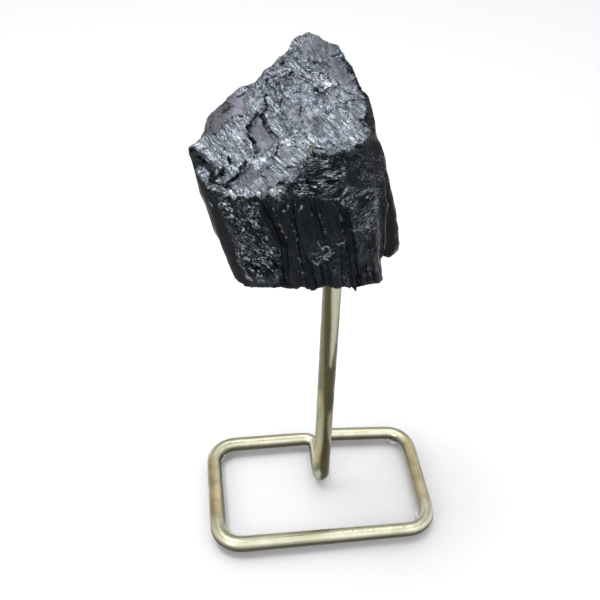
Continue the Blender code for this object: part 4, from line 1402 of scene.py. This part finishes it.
def build_wire():
    route, radii = wire_route()
    points, widths = evenly(route, radii, WIRE_SPACING)
    for values, rounds in ((points, POINT_SMOOTHING), (widths, WIDTH_SMOOTHING)):
        for _ in range(rounds):
            values[1:-1] += (values[:-2] + values[2:] - 2 * values[1:-1]) * 0.25
    mesh = swept_tube("wire", points, widths, WIRE_SIDES, WIRE_END_ROUND)
    places = mesh_places(mesh)
    normals = mesh_normals(mesh)
    dents = -DENT_DEPTH * rise(layered_noise(places / 3.2, 301, 2), 0.1, 0.9)
    dents += RIPPLE_DEPTH * soft_noise(places / 0.9, 311)
    dents = np.where(places[:, 2] > DRILLED_FROM, 0, dents)
    moved = places + normals * dents[:, None]
    set_places(mesh, kept_inside(moved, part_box("wire_stand")))
    u, v = in_picture(places)
    # the post is painted darker all over as shade, and carries painted reflections
    near_post = 1 - rise(from_post(places), *POST_FADE)
    post = near_post * rise(places[:, 2], *POST_FOOT)
    out, along = np.abs(places[:, 0]), np.abs(places[:, 1])
    side = rise(out, *SIDE_WIRES) * (1 - rise(along, *SIDE_ENDS))
    # painted reflections on the post
    kinds = zip((POST_DARK_REFLECTIONS, POST_PALE_REFLECTIONS, POST_YELLOW_HIGHLIGHTS), POST_SOFTNESS)
    dark, pale, yellow = (several(u, v, outlines, soft) * near_post for outlines, soft in kinds)
    yellow = yellow * (1 - 0.7 * pale) * (1 - 0.8 * dark)
    # painted shade and dark reflections lie along the wire's top and below it; its shoulders keep
    # their bright brass
    below = np.maximum(rise(1 - normals[:, 2], 0.33, 0.80), 0.72 * rise(normals[:, 2], 0.76, 0.95))
    # along the sides the painted shade lies left of the top and beyond the right shoulder, which
    # is painted bright
    lean = normals[:, 0]
    dull = 0.28 * (1 - rise(np.abs(lean + 0.15), 0.15, 0.45))
    edge = rise(lean, 0.64, 0.90) * np.where(places[:, 0] < 0, 0.90, 0.30)
    below = (below + (np.maximum(dull, edge) - below) * side) * (1 - post)
    # the tarnished colour thins on the right shoulder: a painted highlight
    side = side * (0.72 + 0.28 * rise(np.abs(lean - 0.45), 0.1, 0.35))
    set_vectors(mesh, "post_reflections", dark, pale, yellow)
    set_vectors(mesh, "tarnish_and_shade", post, side, below)
    shade_smooth(mesh, WIRE_SHARP)
    return link_piece("brass_wire", mesh)


# ---------------------------------------------------------------- feet, millimetres
FOOT_SIDES = 48
FOOT_SHARP = 60                         # degrees
FOOT_PROFILE = (                        # radius and height, from the crown down to the table
    (1.9, 1.4), (2.32, 1.36), (2.52, 1.24), (2.59, 1.04), (2.57, 0.82),
    (2.50, 0.60), (2.38, 0.38), (2.22, 0.18), (2.04, 0.05), (1.8, 0.0),
)
FOOT_PLACES = {                         # from the loop's middle
    "foot_front_left": (-25.2, -15.0),
    "foot_front_right": (29.2, -12.0),
    "foot_back_left": (-28.6, 16.0),
    "foot_back_right": (26.8, 17.9),
}


def build_foot(node, place):
    """A clear dot, turned: crowned sides, a soft lower edge and a flat that rests on the table."""
    shape = bmesh.new()
    x, y = np.subtract(place, MIDDLE)
    along_x, along_y = np.eye(3)[:2]
    rings = []
    for radius, height in FOOT_PROFILE:
        centre = np.array((x, y, height))
        rings.append(ring_of(shape, centre, along_x, along_y, radius, FOOT_SIDES))
    for upper, lower in zip(rings, rings[1:]):
        bridge(shape, lower, upper)
    shape.faces.new(rings[0])
    shape.faces.new(list(reversed(rings[-1])))
    mesh = finished(shape, node + "_dot")
    shade_smooth(mesh, FOOT_SHARP)
    set_places(mesh, kept_inside(mesh_places(mesh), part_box(node)))
    return link_piece(node + "_dot", mesh)


# ---------------------------------------------------------------- floor, light and camera
FLOOR_REACH = 1.6                       # metres
FLOOR_DROP = 0.05                       # millimetres below the feet
SKY = ((0.55, 0.55, 0.56, 1), (1.9, 1.9, 1.95, 1))      # level and below, and overhead
LIGHTS = (                              # name, place, aim and size in metres, watts
    ("overhead", (-0.02, 0.10, 0.70), (0, 0, 0.10), 0.50, 3.2),
    ("glint", (-0.16, 0.02, 0.50), (0, 0, 0.12), 0.10, 0.9),
    ("front_left", (-0.40, -0.42, 0.34), (0, 0, 0.08), 0.16, 0.8),
)


def build_floor():
    corners = [(x, y, 0) for x, y in ((-1, -1), (1, -1), (1, 1), (-1, 1))]
    mesh = bpy.data.meshes.new("floor")
    mesh.from_pydata([Vector(corner) * FLOOR_REACH for corner in corners], [], [(0, 1, 2, 3)])
    floor = link_piece("floor", mesh)
    floor.location.z = -FLOOR_DROP * MM
    mesh.materials.append(floor_material())


def build_light(name, place, aim, size, watts):
    data = bpy.data.lights.new(name, "AREA")
    data.shape = "SQUARE"
    data.size = size
    data.energy = watts
    light = link_piece(name, data)
    light.location = place
    light.rotation_euler = (Vector(aim) - Vector(place)).to_track_quat("-Z", "Y").to_euler()


def build_world():
    world = bpy.data.worlds.new("studio")
    world.use_nodes = True
    tree = world.node_tree
    place = tree.nodes.new("ShaderNodeTexCoord")
    parts = tree.nodes.new("ShaderNodeSeparateXYZ")
    ramp = tree.nodes.new("ShaderNodeValToRGB")
    tree.links.new(place.outputs["Generated"], parts.inputs[0])
    tree.links.new(parts.outputs[2], ramp.inputs[0])
    tree.links.new(ramp.outputs[0], tree.nodes["Background"].inputs["Color"])
    for stop, colour in zip(ramp.color_ramp.elements, SKY):
        stop.color = colour
    bpy.context.scene.world = world


def build_camera():
    data = bpy.data.cameras.new("camera")
    data.sensor_width = SENSOR
    data.lens = CAMERA_FOCAL * SENSOR / IMAGE_SIZE
    data.clip_start, data.clip_end = CLIP_RANGE
    camera = link_piece("camera", data)
    right, up, forward = camera_axes()
    columns = np.column_stack([right, up, -forward, CAMERA_PLACE * MM])
    camera.matrix_world = Matrix((*columns.tolist(), (0, 0, 0, 1)))
    bpy.context.scene.camera = camera


build_camera()
build_world()
build_floor()
for light in LIGHTS:
    build_light(*light)
bpy.context.scene.view_settings.view_transform = "Standard"

stone = build_stone()
stone.data.materials.clear()
stone.data.materials.append(tourmaline_material())
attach(stone, "root")
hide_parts("tourmaline")

wire = build_wire()
wire.data.materials.append(brass_material())
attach(wire, "root")
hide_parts("wire_stand")

silicone = silicone_material()
for node, place in FOOT_PLACES.items():
    foot = build_foot(node, place)
    foot.data.materials.append(silicone)
    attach(foot, "root")
    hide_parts(node)
